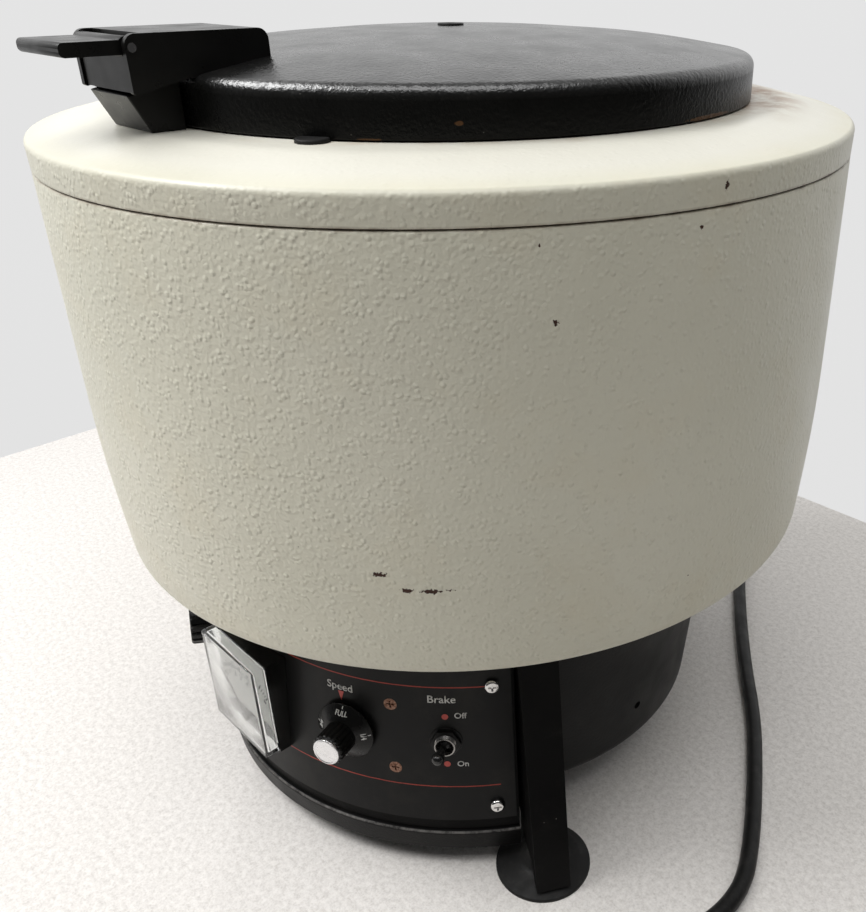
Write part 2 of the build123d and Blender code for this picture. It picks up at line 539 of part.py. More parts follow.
# ---------------------------------------------------------------- motor and rotor
def make_motor():
    case = turned([(46, MOTOR_BOTTOM_Z), (MOTOR_RADIUS, MOTOR_BOTTOM_Z), (MOTOR_RADIUS, MOTOR_TOP_Z), (46, MOTOR_TOP_Z)])
    brushes = []
    for bearing in (90, 270):
        line = radial(bearing, 57)
        case -= rod(line, 6.05, 40, 60)
        brushes.append(rod(line, 6.0, 34, 56) + rod(line, 3.0, 14.4, 34.1))
    node("motor_case", case)
    node("brush_holders", solids_of(brushes))
    top_bell = turned([(11, MOTOR_TOP_Z), (MOTOR_RADIUS, MOTOR_TOP_Z), (MOTOR_RADIUS, 120), (66, 120), (66, 124),
                       (11, 124)])
    mounts = []
    for bearing in (0, 120, 240):
        at = Plane(origin=polar(bearing, MOUNT_RING, 0))
        top_bell -= rod(at, 3.0, 119, 125)
        mounts.append(rod(at, MOUNT_RADIUS, 124, BOWL_FLOOR_Z) + rod(at, 2.95, 119, BOWL_FLOOR_Z + BOWL_FLOOR))
    node("motor_top_bell", top_bell)
    node("motor_mounts", solids_of(mounts))
    node("motor_bottom_bell", turned([
        (11, 38), (30, 38, 3), (MOTOR_RADIUS, 42, 2), (MOTOR_RADIUS, MOTOR_BOTTOM_Z), (11, MOTOR_BOTTOM_Z)]))
    bore = SHAFT_RADIUS + RUNNING
    node("motor_bearings", solids_of([
        turned([(bore, z), (11, z), (11, z + 7), (bore, z + 7)]) for z in (38.5, 116.5)]))

    shaft = rod(Plane.XY, SHAFT_RADIUS, SHAFT_BOTTOM_Z, 272) + rod(Plane.XY, 4.0, 272, 286)
    node("motor_shaft", shaft)
    armature = turned([(SHAFT_RADIUS, 49), (14, 49), (14, 65), (10, 66), (10, 70), (32, 70), (32, 108), (10, 110),
                       (SHAFT_RADIUS, 110)])
    node("armature", armature)


def make_rotor():
    head = turned([(SHAFT_RADIUS, 238), (12, 238), (17, 246, 2), (17, 266, 2), (13, 272, 1), (SHAFT_RADIUS, 272)])
    for turn in range(0, 360, 90):
        arm = block((14, 36), (-8, 8), (250, 264)) + block((34, 40), (-25.5, 25.5), (250, 264))
        for low in (-25.5, 20.5):
            arm += block((34, 70), (low, low + 5), (250, 264))
        line = Plane(origin=(TRUNNION_RING, 0, TRUNNION_Z), z_dir=(0, 1, 0))
        arm -= rod(line, TRUNNION_RADIUS + 0.06, -30, 30)
        head += Rot(Z=turn) * arm
    head -= rod(Plane.XY, SHAFT_RADIUS, 230, 280)
    node("rotor_head", head)
    nut = Pos(Z=272) * extrude(RegularPolygon(10.5, 6), 6) + rod(Plane.XY, 8.0, 278, 284)
    node("rotor_nut", nut - rod(Plane.XY, 4.0, 270, 290))

    inside = SHIELD_RADIUS - SHIELD_WALL
    shield = turned([
        (0, SHIELD_BOTTOM_Z), (SHIELD_RADIUS, SHIELD_BOTTOM_Z, 9), (SHIELD_RADIUS, 250), (18, 250, 1), (18, 262, 1),
        (SHIELD_RADIUS, 262), (SHIELD_RADIUS, 264.5), (16.5, 264.5), (16.5, SHIELD_TOP_Z, 1), (inside, SHIELD_TOP_Z),
        (inside, SHIELD_BOTTOM_Z + 2, 7.8), (0, SHIELD_BOTTOM_Z + 2)])
    line = Plane(origin=(0, 0, TRUNNION_Z), z_dir=(0, 1, 0))
    for low, high in ((-25, -16), (16, 25)):
        shield += rod(line, TRUNNION_RADIUS, low, high)
    for number, turn in enumerate(range(0, 360, 90), start=1):
        node("tube_shield_%d" % number, Rot(Z=turn) * Pos(X=TRUNNION_RING) * shield)


# ---------------------------------------------------------------- cord
def make_cord():
    line = radial(GLAND_BEARING, GLAND_Z)
    wall = can_radius(GLAND_Z)
    gland = rod(line, 8.0, wall - 8, wall + 1.3) + rod(line, 10.5, wall + 1.15, wall + 3.6)
    gland += cone(line, wall + 3.5, 7.4, GLAND_END, 5.0)
    node("cord_gland", gland)
    node("cord_tube", solids_of([tube_along(LEAD_ROUTE, CORD_RADIUS), tube_along(TAIL_ROUTE, CORD_RADIUS)]))
    coil = revolve(Plane.XZ * outline([
        (COIL_IN, 0.1, 3), (COIL_OUT, 0.1, 3), (COIL_OUT, COIL_HEIGHT, 3), (COIL_IN, COIL_HEIGHT, 3)]), Axis.Z)
    node("cord_coil", Pos(*COIL_AT, 0) * coil)

    end, before = Vector(*TAIL_ROUTE[-1]), Vector(*TAIL_ROUTE[-2])
    along = Plane(origin=end, x_dir=(0, 0, 1), z_dir=end - before)
    boot = 20.0
    body = cone(along, 0, 4.7, boot + 0.5, 7.0) + rod(along, PLUG_RADIUS, boot, boot + PLUG_LENGTH)
    body -= along * (Pos(X=PLUG_RADIUS + 8.6) * Box(20, 40, 150))
    node("plug_body", body)
    face = along.offset(boot + PLUG_LENGTH)
    pins = [face * (Pos(2.0, y, 8.5) * Box(6.3, 1.5, 17)) for y in (-6.35, 6.35)]
    pins.append(rod(Plane(face * Pos(-6.5, 0, 0)), 2.4, 0, 20))
    node("plug_pins", solids_of(pins))


make_bowl()
make_keeper()
make_hinge_bracket()
make_lid()
make_latch_housing()
make_hinge_arm()
make_base()
make_panel()
make_meter()
make_controls()
make_legs()
make_motor()
make_rotor()
make_cord()
for name, shape in NODES.items():
    export_step(shape, "parts/%s.step" % name)
print(len(NODES), "nodes")
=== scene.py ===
"""Looks for the bench-top laboratory centrifuge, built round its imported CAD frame.

Lengths in this file are millimetres unless a name says otherwise, and every mesh is scaled to
metres as it is made.  +Z is up and the front (meter and latch) faces -Y.  A bearing is an
angle round the spindle, in degrees, from the front towards +X.
"""

import math

import bmesh
import bpy
from mathutils import Matrix, Vector


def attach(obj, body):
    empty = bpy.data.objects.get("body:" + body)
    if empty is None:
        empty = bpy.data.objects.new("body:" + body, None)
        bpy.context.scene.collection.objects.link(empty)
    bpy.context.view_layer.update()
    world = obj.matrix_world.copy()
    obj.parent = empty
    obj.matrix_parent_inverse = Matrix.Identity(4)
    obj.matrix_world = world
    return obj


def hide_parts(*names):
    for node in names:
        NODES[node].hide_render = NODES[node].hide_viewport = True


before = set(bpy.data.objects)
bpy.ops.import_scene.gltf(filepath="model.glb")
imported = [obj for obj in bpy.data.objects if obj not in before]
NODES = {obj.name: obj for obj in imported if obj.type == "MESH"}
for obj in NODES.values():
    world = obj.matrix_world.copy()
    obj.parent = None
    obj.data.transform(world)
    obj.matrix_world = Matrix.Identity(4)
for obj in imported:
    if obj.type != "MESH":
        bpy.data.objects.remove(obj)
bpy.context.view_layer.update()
MM = 0.001

# ---------------------------------------------------------------- sizes shared with the CAD part
BOWL_RADIUS, BOWL_FLOOR_Z, SEAM_Z, SEAM_GAP = 178.0, 142.0, 318.5, 0.8
RIM_Z, RIM_FLAT_RADIUS, MOUTH_RADIUS = 337.0, 150.0, 125.0
LID_RADIUS, LID_BOTTOM_Z, LID_SHOULDER_Z, LID_TOP_Z, LID_WALL = 133.9, 337.5, 354.9, 365.8, 3.0
PANEL_BOTTOM_Z, PANEL_BOTTOM_RADIUS, PANEL_TAPER = 32.2, 146.1, 0.0866
PANEL_LEAN = math.atan(PANEL_TAPER)
SPEED_AT, TIMER_AT, BRAKE_AT = (24.1, 78.4), (-24.7, 79.0), (43.1, 78.5)
METER_Z, METER_BACK_Y, METER_FRONT_Y = 78.5, -148.3, -155.6
NEEDLE_Z = 62.0

CORD_RADIUS = 4.2
CORD_REST_Z = CORD_RADIUS + 0.1
GLAND_BEARING, GLAND_Z, GLAND_END = 194.0, 50.0, 160.0
LEAD_ROUTE = [
    (-38.7, 155.2, 50.0), (-44.5, 180.5, 45.5), (-38.0, 209.0, 32.0), (-16.5, 227.0, 15.5),
    (14.0, 229.0, 5.4),
    (45.5, 215.0, CORD_REST_Z), (64.5, 184.0, CORD_REST_Z), (92.0, 146.5, CORD_REST_Z),
    (121.0, 109.5, CORD_REST_Z), (150.5, 75.5, CORD_REST_Z), (175.5, 38.5, CORD_REST_Z),
    (196.0, 5.5, CORD_REST_Z), (209.5, -22.0, CORD_REST_Z), (209.0, -50.0, CORD_REST_Z)]
COIL_AT = (246.0, -95.0)
# angle wound so far, radius and height of the cord's line:
# two turns on the table, two on top, then across them
COIL_LAY = [
    (171, 50.4, CORD_REST_Z), (481, 50.4, CORD_REST_Z), (531, 41.6, CORD_REST_Z), (791, 41.6, CORD_REST_Z),
    (841, 41.6, 12.9), (1101, 41.6, 12.9), (1146, 50.4, 12.9), (1411, 50.4, 12.9), (1461, 46.0, 21.4),
    (1506, 46.0, 21.4), (1530, 46.0, 20.4), (1600, 46.0, 20.4), (1625, 47.5, 21.4)]
COIL_STEP = 15
TAIL_ROUTE = [(207.5, -131.5, 21.2), (222.5, -152.5, 15.0), (252.0, -160.5, 12.2), (278.0, -162.5, 12.1)]


# ---------------------------------------------------------------- camera and light
SKY_STRENGTH = 3.0
REAR_SKY = [(-1.0, 0.25), (0.02, 0.26), (0.12, 0.285), (0.25, 0.36), (0.6, 0.36), (0.75, 0.28), (0.86, 0.1),
            (1.0, 0.12)]
FRONT_SKY = [(-1.0, 0.012), (0.2, 0.015), (0.6, 0.03), (0.9, 0.08), (1.0, 0.12)]
LAMPS = [
    ("key", (-0.60, -0.80, 1.35), (0, 0, 0.25), (0.8, 0.6), 19),
    ("fill", (0.45, -0.45, 1.95), (0, 0, 0.3), (1.6, 1.0), 18)]


def make_camera():
    data = bpy.data.cameras.new("camera")
    data.lens, data.shift_x = 37.1, -0.139
    data.clip_start, data.clip_end = 0.01, 20
    camera = bpy.data.objects.new("camera", data)
    bpy.context.scene.collection.objects.link(camera)
    turn, pan, pitch = math.radians(50.3), math.radians(6.03), math.radians(27.64)
    forward = Vector((math.sin(pan) * math.cos(pitch), math.cos(pan) * math.cos(pitch), -math.sin(pitch)))
    forward = Matrix.Rotation(turn, 3, "Z") @ forward
    camera.location = Vector((355.05, -294.77, 389.81)) * MM
    camera.rotation_mode = "QUATERNION"
    camera.rotation_quaternion = forward.to_track_quat("-Z", "Y")
    bpy.context.scene.camera = camera


def area_light(name, place, aim, size, watts, colour=(1, 1, 1)):
    data = bpy.data.lights.new(name, "AREA")
    data.shape, data.size, data.size_y = "RECTANGLE", size[0], size[1]
    data.energy, data.color = watts, colour
    lamp = bpy.data.objects.new(name, data)
    bpy.context.scene.collection.objects.link(lamp)
    lamp.location = place
    lamp.rotation_mode = "QUATERNION"
    lamp.rotation_quaternion = (Vector(aim) - Vector(place)).to_track_quat("-Z", "Y")


def sky_ramp(tree, value, stops):
    """Grey levels over a value that runs from -1 to 1; a level may pass 1."""
    spread = tree.nodes.new("ShaderNodeMapRange")
    spread.inputs["From Min"].default_value = -1
    tree.links.new(value, spread.inputs["Value"])
    curve = tree.nodes.new("ShaderNodeValToRGB")
    ramp = curve.color_ramp
    ramp.elements[0].position, ramp.elements[1].position = (stops[0][0] + 1) / 2, (stops[-1][0] + 1) / 2
    for place, level in stops[1:-1]:
        ramp.elements.new((place + 1) / 2)
    for stop, (place, level) in zip(ramp.elements, stops):
        stop.color = (level, level, level, 1)
    tree.links.new(spread.outputs["Result"], curve.inputs["Fac"])
    return curve.outputs["Color"]


def make_light():
    """A pale wall behind, windows over it, and a dark room on the camera's side."""
    scene = bpy.context.scene
    scene.view_settings.view_transform = "Standard"
    world = bpy.data.worlds.new("world")
    scene.world = world
    world.use_nodes = True
    tree = world.node_tree
    tree.nodes.clear()
    out = tree.nodes.new("ShaderNodeOutputWorld")
    back = tree.nodes.new("ShaderNodeBackground")
    coord = tree.nodes.new("ShaderNodeTexCoord")
    split = tree.nodes.new("ShaderNodeSeparateXYZ")
    tree.links.new(coord.outputs["Generated"], split.inputs[0])
    toward = tree.nodes.new("ShaderNodeVectorMath")
    toward.operation = "DOT_PRODUCT"
    toward.inputs[1].default_value = (-0.766, 0.643, 0)
    tree.links.new(coord.outputs["Generated"], toward.inputs[0])
    rear = sky_ramp(tree, split.outputs["Z"], REAR_SKY)
    front = sky_ramp(tree, split.outputs["Z"], FRONT_SKY)
    share = sky_ramp(tree, toward.outputs["Value"], [(-0.25, 0.0), (0.45, 1.0)])
    mix = tree.nodes.new("ShaderNodeMix")
    mix.data_type = "RGBA"
    tree.links.new(share, mix.inputs[0])
    tree.links.new(front, mix.inputs[6])
    tree.links.new(rear, mix.inputs[7])
    tree.links.new(mix.outputs[2], back.inputs["Color"])
    back.inputs["Strength"].default_value = SKY_STRENGTH
    tree.links.new(back.outputs["Background"], out.inputs["Surface"])
    for name, place, aim, size, watts in LAMPS:
        area_light(name, place, aim, size, watts)


# ---------------------------------------------------------------- mesh helpers
def link_mesh(name, mesh):
    piece = bpy.data.objects.new(name, mesh)
    bpy.context.scene.collection.objects.link(piece)
    return piece


def build(name, points, faces, place=None):
    """Mesh object from millimetre points, optionally moved by a matrix in millimetres."""
    if place is not None:
        points = [place @ Vector(p) for p in points]
    mesh = bpy.data.meshes.new(name)
    mesh.from_pydata([Vector(p) * MM for p in points], [], faces)
    work = bmesh.new()
    work.from_mesh(mesh)
    bmesh.ops.remove_doubles(work, verts=work.verts, dist=1e-7)
    bmesh.ops.recalc_face_normals(work, faces=work.faces)
    work.to_mesh(mesh)
    work.free()
    return link_mesh(name, mesh)


def smooth(piece, degrees=35):
    piece.data.shade_smooth()
    piece.data.set_sharp_from_angle(angle=math.radians(degrees))
    return piece


def soften(piece, width, segments=2, degrees=30):
    """Rounds the sharp edges of a piece's own mesh, width in millimetres."""
    work = bmesh.new()
    work.from_mesh(piece.data)
    edges = [e for e in work.edges if len(e.link_faces) == 2 and e.calc_face_angle() > math.radians(degrees)]
    bmesh.ops.bevel(work, geom=edges, offset=width * MM, segments=segments, profile=0.5, affect="EDGES",
                    clamp_overlap=True)
    work.to_mesh(piece.data)
    work.free()
    return piece


def join(name, pieces):
    """One object from several, keeping its materials."""
    work = bmesh.new()
    slots = []
    for piece in pieces:
        start = len(work.faces)
        work.from_mesh(piece.data)
        work.faces.ensure_lookup_table()
        base = len(slots)
        slots += list(piece.data.materials)
        for face in work.faces[start:]:
            face.material_index += base
    mesh = bpy.data.meshes.new(name)
    work.to_mesh(mesh)
    work.free()
    for material in slots:
        mesh.materials.append(material)
    for piece in pieces:
        bpy.data.objects.remove(piece)
    return link_mesh(name, mesh)


def rounded(points, steps=5):
    """Closed outline with a third number's radius rounding each corner."""
    out = []
    for index, point in enumerate(points):
        corner = Vector(point[:2])
        radius = point[2] if len(point) > 2 else 0
        before = Vector(points[index - 1][:2]) - corner
        after = Vector(points[(index + 1) % len(points)][:2]) - corner
        if not radius:
            out.append(tuple(corner))
            continue
        room = 0.49 * min(before.length, after.length)
        before.normalize()
        after.normalize()
        half = before.angle(after) / 2
        reach = min(radius / math.tan(half), room)
        radius = reach * math.tan(half)
        centre = corner + (before + after).normalized() * (radius / math.sin(half))
        first, last = corner + before * reach - centre, corner + after * reach - centre
        sweep = first.angle_signed(last)
        count = max(2, round(abs(sweep) / math.radians(12)) if steps is None else steps)
        for step in range(count + 1):
            turn = Matrix.Rotation(-sweep * step / count, 2)
            out.append(tuple(centre + turn @ first))
    return out


def lathe(name, outline, count=192, arc=None, place=None):
    """Revolves a closed (r, z) outline about Z; arc is (first, last) bearing of a part turn."""
    whole = arc is None
    first, last = arc or (0, 360)
    turns = count if whole else count + 1
    points, faces = [], []
    for step in range(turns):
        angle = math.radians(first + (last - first) * step / count)
        points += [(r * math.sin(angle), -r * math.cos(angle), z) for r, z in outline]
    size = len(outline)
    for step in range(count):
        here, there = step * size, ((step + 1) % turns) * size
        for k in range(size):
            n = (k + 1) % size
            if outline[k][0] < 1e-6 and outline[n][0] < 1e-6:
                continue
            faces.append((here + k, there + k, there + n, here + n))
    if not whole:
        faces.append(tuple(range(size)))
        faces.append(tuple(range((turns - 1) * size, turns * size)))
    return build(name, points, faces, place)


def prism(name, outline, low, high, place=None):
    """Solid with a (y, z) outline between two x values."""
    size = len(outline)
    points = [(low, y, z) for y, z in outline] + [(high, y, z) for y, z in outline]
    faces = [tuple(range(size)), tuple(range(size, 2 * size))]
    faces += [(k, (k + 1) % size, size + (k + 1) % size, size + k) for k in range(size)]
    return build(name, points, faces, place)


def block(name, x, y, z, place=None):
    return prism(name, [(y[0], z[0]), (y[1], z[0]), (y[1], z[1]), (y[0], z[1])], x[0], x[1], place)


def skin(name, rings, caps=True, place=None):
    """Closed tube through rings of points."""
    size = len(rings[0])
    points = [p for ring in rings for p in ring]
    faces = []
    for k in range(len(rings) - 1):
        faces += [(k * size + j, k * size + (j + 1) % size, (k + 1) * size + (j + 1) % size,
                   (k + 1) * size + j)
                  for j in range(size)]
    if caps:
        faces += [tuple(range(size)), tuple(range((len(rings) - 1) * size, len(rings) * size))]
    return build(name, points, faces, place)


def polar(bearing, radius, z=0.0):
    angle = math.radians(bearing)
    return Vector((radius * math.sin(angle), -radius * math.cos(angle), z))


def axes(origin, x, y, z):
    return Matrix.Translation(origin) @ Matrix((x, y, z)).transposed().to_4x4()


def along(origin, direction, side=(0, 0, 1)):
    """Matrix whose z runs in a direction."""
    z = Vector(direction).normalized()
    x = Vector(side)
    x = (x - z * x.dot(z)).normalized()
    return axes(origin, x, z.cross(x), z)


def panel_radius(z):
    return PANEL_BOTTOM_RADIUS - PANEL_TAPER * (z - PANEL_BOTTOM_Z)


def on_panel(bearing, z):
    """Matrix on the panel's face: x along the panel, y up its slope, z outward."""
    angle = math.radians(bearing)
    outward = Vector((math.sin(angle) * math.cos(PANEL_LEAN), -math.cos(angle) * math.cos(PANEL_LEAN),
                      math.sin(PANEL_LEAN)))
    side = Vector((math.cos(angle), math.sin(angle), 0))
    return axes(polar(bearing, panel_radius(z), z), side, outward.cross(side), outward)


def dress(piece, body, material=None, replaces=()):
    if material is not None:
        piece.data.materials.clear()
        piece.data.materials.append(material)
    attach(piece, body)
    if replaces:
        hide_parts(*replaces)
    return piece


# ---------------------------------------------------------------- material helpers
class Look:
    """A small builder round one Principled material; places are object coordinates in metres."""

    def __init__(self, name, colour, roughness, metallic=0.0, specular=0.5):
        self.material = bpy.data.materials.new(name)
        self.material.use_nodes = True
        self.tree = self.material.node_tree
        self.shader = self.tree.nodes["Principled BSDF"]
        self.set("Base Color", colour)
        self.set("Roughness", roughness)
        self.set("Metallic", metallic)
        self.set("Specular IOR Level", specular)
        self.here = self.node("TexCoord").outputs["Object"]

    def node(self, kind, **settings):
        made = self.tree.nodes.new("ShaderNode" + kind)
        for key, value in settings.items():
            setattr(made, key, value)
        return made

    def feed(self, socket, value):
        if isinstance(value, bpy.types.NodeSocket):
            self.tree.links.new(value, socket)
        elif isinstance(value, (tuple, list)) and len(value) == 3 and socket.type == "RGBA":
            socket.default_value = (*value, 1)
        else:
            socket.default_value = value

    def set(self, name, value):
        self.feed(self.shader.inputs[name], value)
        return self

    def noise(self, scale, detail=3.0, rough=0.5, at=None, stretch=None):
        made = self.node("TexNoise")
        if stretch:
            at = self.vector("MULTIPLY", at or self.here, stretch)
        self.feed(made.inputs["Vector"], at or self.here)
        self.feed(made.inputs["Scale"], scale)
        self.feed(made.inputs["Detail"], detail)
        self.feed(made.inputs["Roughness"], rough)
        return made.outputs["Fac"]

    def cells(self, scale, feature="F1", at=None, smoothness=None):
        made = self.node("TexVoronoi", feature=feature)
        self.feed(made.inputs["Vector"], at or self.here)
        self.feed(made.inputs["Scale"], scale)
        if smoothness is not None:
            self.feed(made.inputs["Smoothness"], smoothness)
        return made.outputs["Distance"]

    def vector(self, operation, a, b=None, out="Vector"):
        made = self.node("VectorMath", operation=operation)
        self.feed(made.inputs[0], a)
        if b is not None:
            self.feed(made.inputs[1], b)
        return made.outputs[out]

    def calc(self, operation, a, b=0.0, clamp=False):
        made = self.node("Math", operation=operation, use_clamp=clamp)
        self.feed(made.inputs[0], a)
        self.feed(made.inputs[1], b)
        return made.outputs[0]

    def span(self, value, low, high, to_low=0.0, to_high=1.0, kind="LINEAR"):
        made = self.node("MapRange", interpolation_type=kind)
        for name, number in (("From Min", low), ("From Max", high), ("To Min", to_low), ("To Max", to_high)):
            self.feed(made.inputs[name], number)
        self.feed(made.inputs["Value"], value)
        return made.outputs["Result"]

    def mix(self, share, a, b, mode="MIX"):
        made = self.node("Mix", data_type="RGBA", blend_type=mode)
        self.feed(made.inputs[0], share)
        self.feed(made.inputs[6], a)
        self.feed(made.inputs[7], b)
        return made.outputs[2]

    def parts(self, at=None):
        made = self.node("SeparateXYZ")
        self.feed(made.inputs[0], at or self.here)
        return made.outputs["X"], made.outputs["Y"], made.outputs["Z"]

    def turned(self, bearing):
        """Object coordinates with a bearing turned to face -Y."""
        made = self.node("VectorRotate", rotation_type="Z_AXIS")
        self.feed(made.inputs["Vector"], self.here)
        made.inputs["Angle"].default_value = math.radians(-bearing)
        return made.outputs[0]

    def spot(self, bearing, radius, z, half, ragged=0.5, grain=900.0):
        """1 inside a ragged patch centred at a place in mm; half is its (along, up) half size."""
        local = self.vector("SUBTRACT", self.turned(bearing), (0, -radius * MM, z * MM))
        local = self.vector("MULTIPLY", local, (1 / (half[0] * MM), 1 / (max(half) * MM), 1 / (half[1] * MM)))
        distance = self.vector("LENGTH", local, out="Value")
        worn = self.calc("MULTIPLY", self.calc("SUBTRACT", self.noise(grain, 3), 0.5), ragged * 2)
        return self.span(self.calc("ADD", distance, worn), 0.9, 1.1, 1.0, 0.0)

    def most(self, shares):
        total = shares[0]
        for share in shares[1:]:
            total = self.calc("MAXIMUM", total, share)
        return total

    def bump(self, *layers):
        """Layers of (height, strength, distance in metres)."""
        normal = None
        for height, strength, distance in layers:
            made = self.node("Bump")
            self.feed(made.inputs["Height"], height)
            self.feed(made.inputs["Strength"], strength)
            self.feed(made.inputs["Distance"], distance)
            if normal is not None:
                self.feed(made.inputs["Normal"], normal)
            normal = made.outputs["Normal"]
        self.feed(self.shader.inputs["Normal"], normal)
        return self


# chips in the enamel, down to rusty steel: bearing, height, (along, up) half size
CHIPS = [(38.9, 193.4, (2.6, 1.0)), (42.0, 186.4, (2.6, 0.9)), (44.6, 186.2, (3.6, 1.0)),
         (47.1, 186.7, (1.5, 0.6)),
         (34.2, 186.7, (0.5, 0.5)), (29.1, 202.0, (0.6, 0.6)), (59.7, 287.6, (0.8, 1.2)),
         (76.6, 313.0, (0.7, 1.0)),
         (79.7, 325.7, (0.8, 1.4)), (58.0, 313.3, (0.4, 0.7)), (70.2, 175.7, (0.6, 0.5)),
         (78.9, 171.1, (0.7, 0.5)),
         (-72.0, 240.0, (0.9, 0.7)), (-131.0, 176.0, (2.2, 0.7)), (163.0, 268.0, (0.7, 1.1)),
         (-20.0, 166.0, (1.1, 0.5))]
RUST = (0.07, 0.025, 0.011)


def enamel():
    look = Look("cream_enamel", (0.66, 0.64, 0.52), 0.42, specular=0.42)
    x, y, z = look.parts()
    cloud = look.noise(9, 3)
    base = look.mix(cloud, (0.60, 0.585, 0.475), (0.69, 0.67, 0.565))
    yellowed = look.span(look.noise(22, 4, 0.6), 0.52, 0.75)
    base = look.mix(look.calc("MULTIPLY", yellowed, 0.35), base, (0.62, 0.56, 0.41))
    radius = look.vector("LENGTH", look.vector("MULTIPLY", look.here, (1, 1, 0)), out="Value")
    top = look.span(z, 0.3312, 0.3335)
    # Painted light: the rim's top gets a whiter, less yellow cream than the sides, standing in for the cooler
    # light that falls on it from above.
    base = look.mix(look.calc("MULTIPLY", top, 0.8), base, (0.66, 0.645, 0.575))
    smear = look.calc("MULTIPLY", look.span(radius, 0.144, 0.160, 1.0, 0.0), top)
    bearing = look.calc("ARCTAN2", x, look.calc("MULTIPLY", y, -1))
    sector = look.calc("MULTIPLY", look.span(bearing, 1.75, 2.15), look.span(bearing, 2.7, 3.1, 1.0, 0.0))
    streak = look.span(look.noise(60, 5, 0.7), 0.38, 0.60)
    smear = look.calc("MULTIPLY", look.calc("MULTIPLY", smear, sector), streak)
    base = look.mix(look.calc("MULTIPLY", smear, 0.9), base, (0.26, 0.13, 0.055))
    faint = look.calc("MULTIPLY", look.calc("MULTIPLY", top, look.span(radius, 0.1345, 0.144, 1.0, 0.0)),
                      look.span(look.noise(45, 4, 0.6), 0.45, 0.7))
    base = look.mix(look.calc("MULTIPLY", faint, 0.4), base, (0.42, 0.29, 0.17))
    seam_low = look.span(look.calc("ABSOLUTE", look.calc("SUBTRACT", z, 0.3189)), 0.0004, 0.0013, 1.0, 0.0)
    grime = look.calc("MULTIPLY", seam_low, look.span(look.noise(120, 4, 0.7), 0.35, 0.75, 0.15, 0.9))
    base = look.mix(grime, base, (0.16, 0.10, 0.06))
    dots = look.span(look.cells(70), 0.012, 0.02, 1.0, 0.0)
    dots = look.calc("MULTIPLY", dots, look.span(look.noise(16, 2), 0.56, 0.6))
    chips = look.most([look.spot(b, 178.0 if h > 222 else 178 - (222 - h) * 0.045, h, half, 1.7, 1000.0)
                       for b, h, half in CHIPS])
    chips = look.most([chips, look.calc("MULTIPLY", dots, 0.8)])
    base = look.mix(chips, base, look.mix(look.noise(700, 3), (0.02, 0.008, 0.005), RUST))
    look.set("Base Color", base)
    look.set("Roughness", look.calc("ADD", look.span(look.noise(35, 4), 0.3, 0.7, 0.34, 0.46),
                                    look.calc("MULTIPLY", chips, 0.4)))
    domes = look.span(look.cells(430), 0.05, 0.62, 1.0, 0.0, kind="SMOOTHSTEP")
    domes = look.calc("MULTIPLY", domes, look.span(look.noise(210, 2.0, 0.5), 0.38, 0.62, 0.12, 1.0))
    pebble = look.calc("ADD", domes, look.calc("MULTIPLY", look.noise(520, 1.0, 0.5), 0.8))
    relief = look.calc("MULTIPLY", pebble, look.span(z, 0.3283, 0.3303, 1.0, 0.2))
    look.bump((relief, 1.0, 0.00032), (look.noise(60, 2), 0.4, 0.0010),
              (look.calc("MULTIPLY", chips, -1), 0.6, 0.0003))
    return look.material


def black_paint(name, level=0.008, roughness=0.36, grain=900.0, depth=0.00025, wear=True, shine=0.16,
                edge=None):
    """Satin black; edge is (radius, z) in mm of a turned edge along which a bright line is painted as a
    highlight.
    """
    look = Look(name, (level,) * 3, roughness, specular=shine)
    tone = look.mix(look.noise(30, 3), (level * 0.7, level * 0.7, level * 0.73),
                    (level * 1.4, level * 1.35, level * 1.3))
    if wear:
        dust = look.span(look.noise(55, 5, 0.65), 0.58, 0.85)
        tone = look.mix(look.calc("MULTIPLY", dust, 0.10), tone, (0.10, 0.09, 0.08))
        nick = look.calc("MULTIPLY", look.span(look.cells(150), 0.03, 0.05, 1.0, 0.0),
                         look.span(look.noise(21), 0.6, 0.64))
        tone = look.mix(nick, tone, (0.30, 0.28, 0.25))
    if edge:
        z = look.parts()[2]
        radius = look.vector("LENGTH", look.vector("MULTIPLY", look.here, (1, 1, 0)), out="Value")
        out = look.calc("ABSOLUTE", look.calc("SUBTRACT", radius, edge[0] * MM))
        up = look.calc("ABSOLUTE", look.calc("SUBTRACT", z, edge[1] * MM))
        # Painted highlight: a bright line along the turned edge, broken up by noise.
        edge_highlight = look.span(look.calc("ADD", out, up), 0.0009, 0.0013, 1.0, 0.0)
        edge_highlight = look.calc("MULTIPLY", edge_highlight, look.span(look.noise(230, 4, 0.7), 0.36, 0.6, 0.15, 1.0))
        tone = look.mix(edge_highlight, tone, (0.22, 0.21, 0.20))
    look.set("Base Color", tone)
    look.set("Roughness", look.span(look.noise(48, 4), 0.3, 0.7, roughness - 0.05, roughness + 0.08))
    look.bump((look.noise(grain, 2), 0.35, depth))
    return look.material


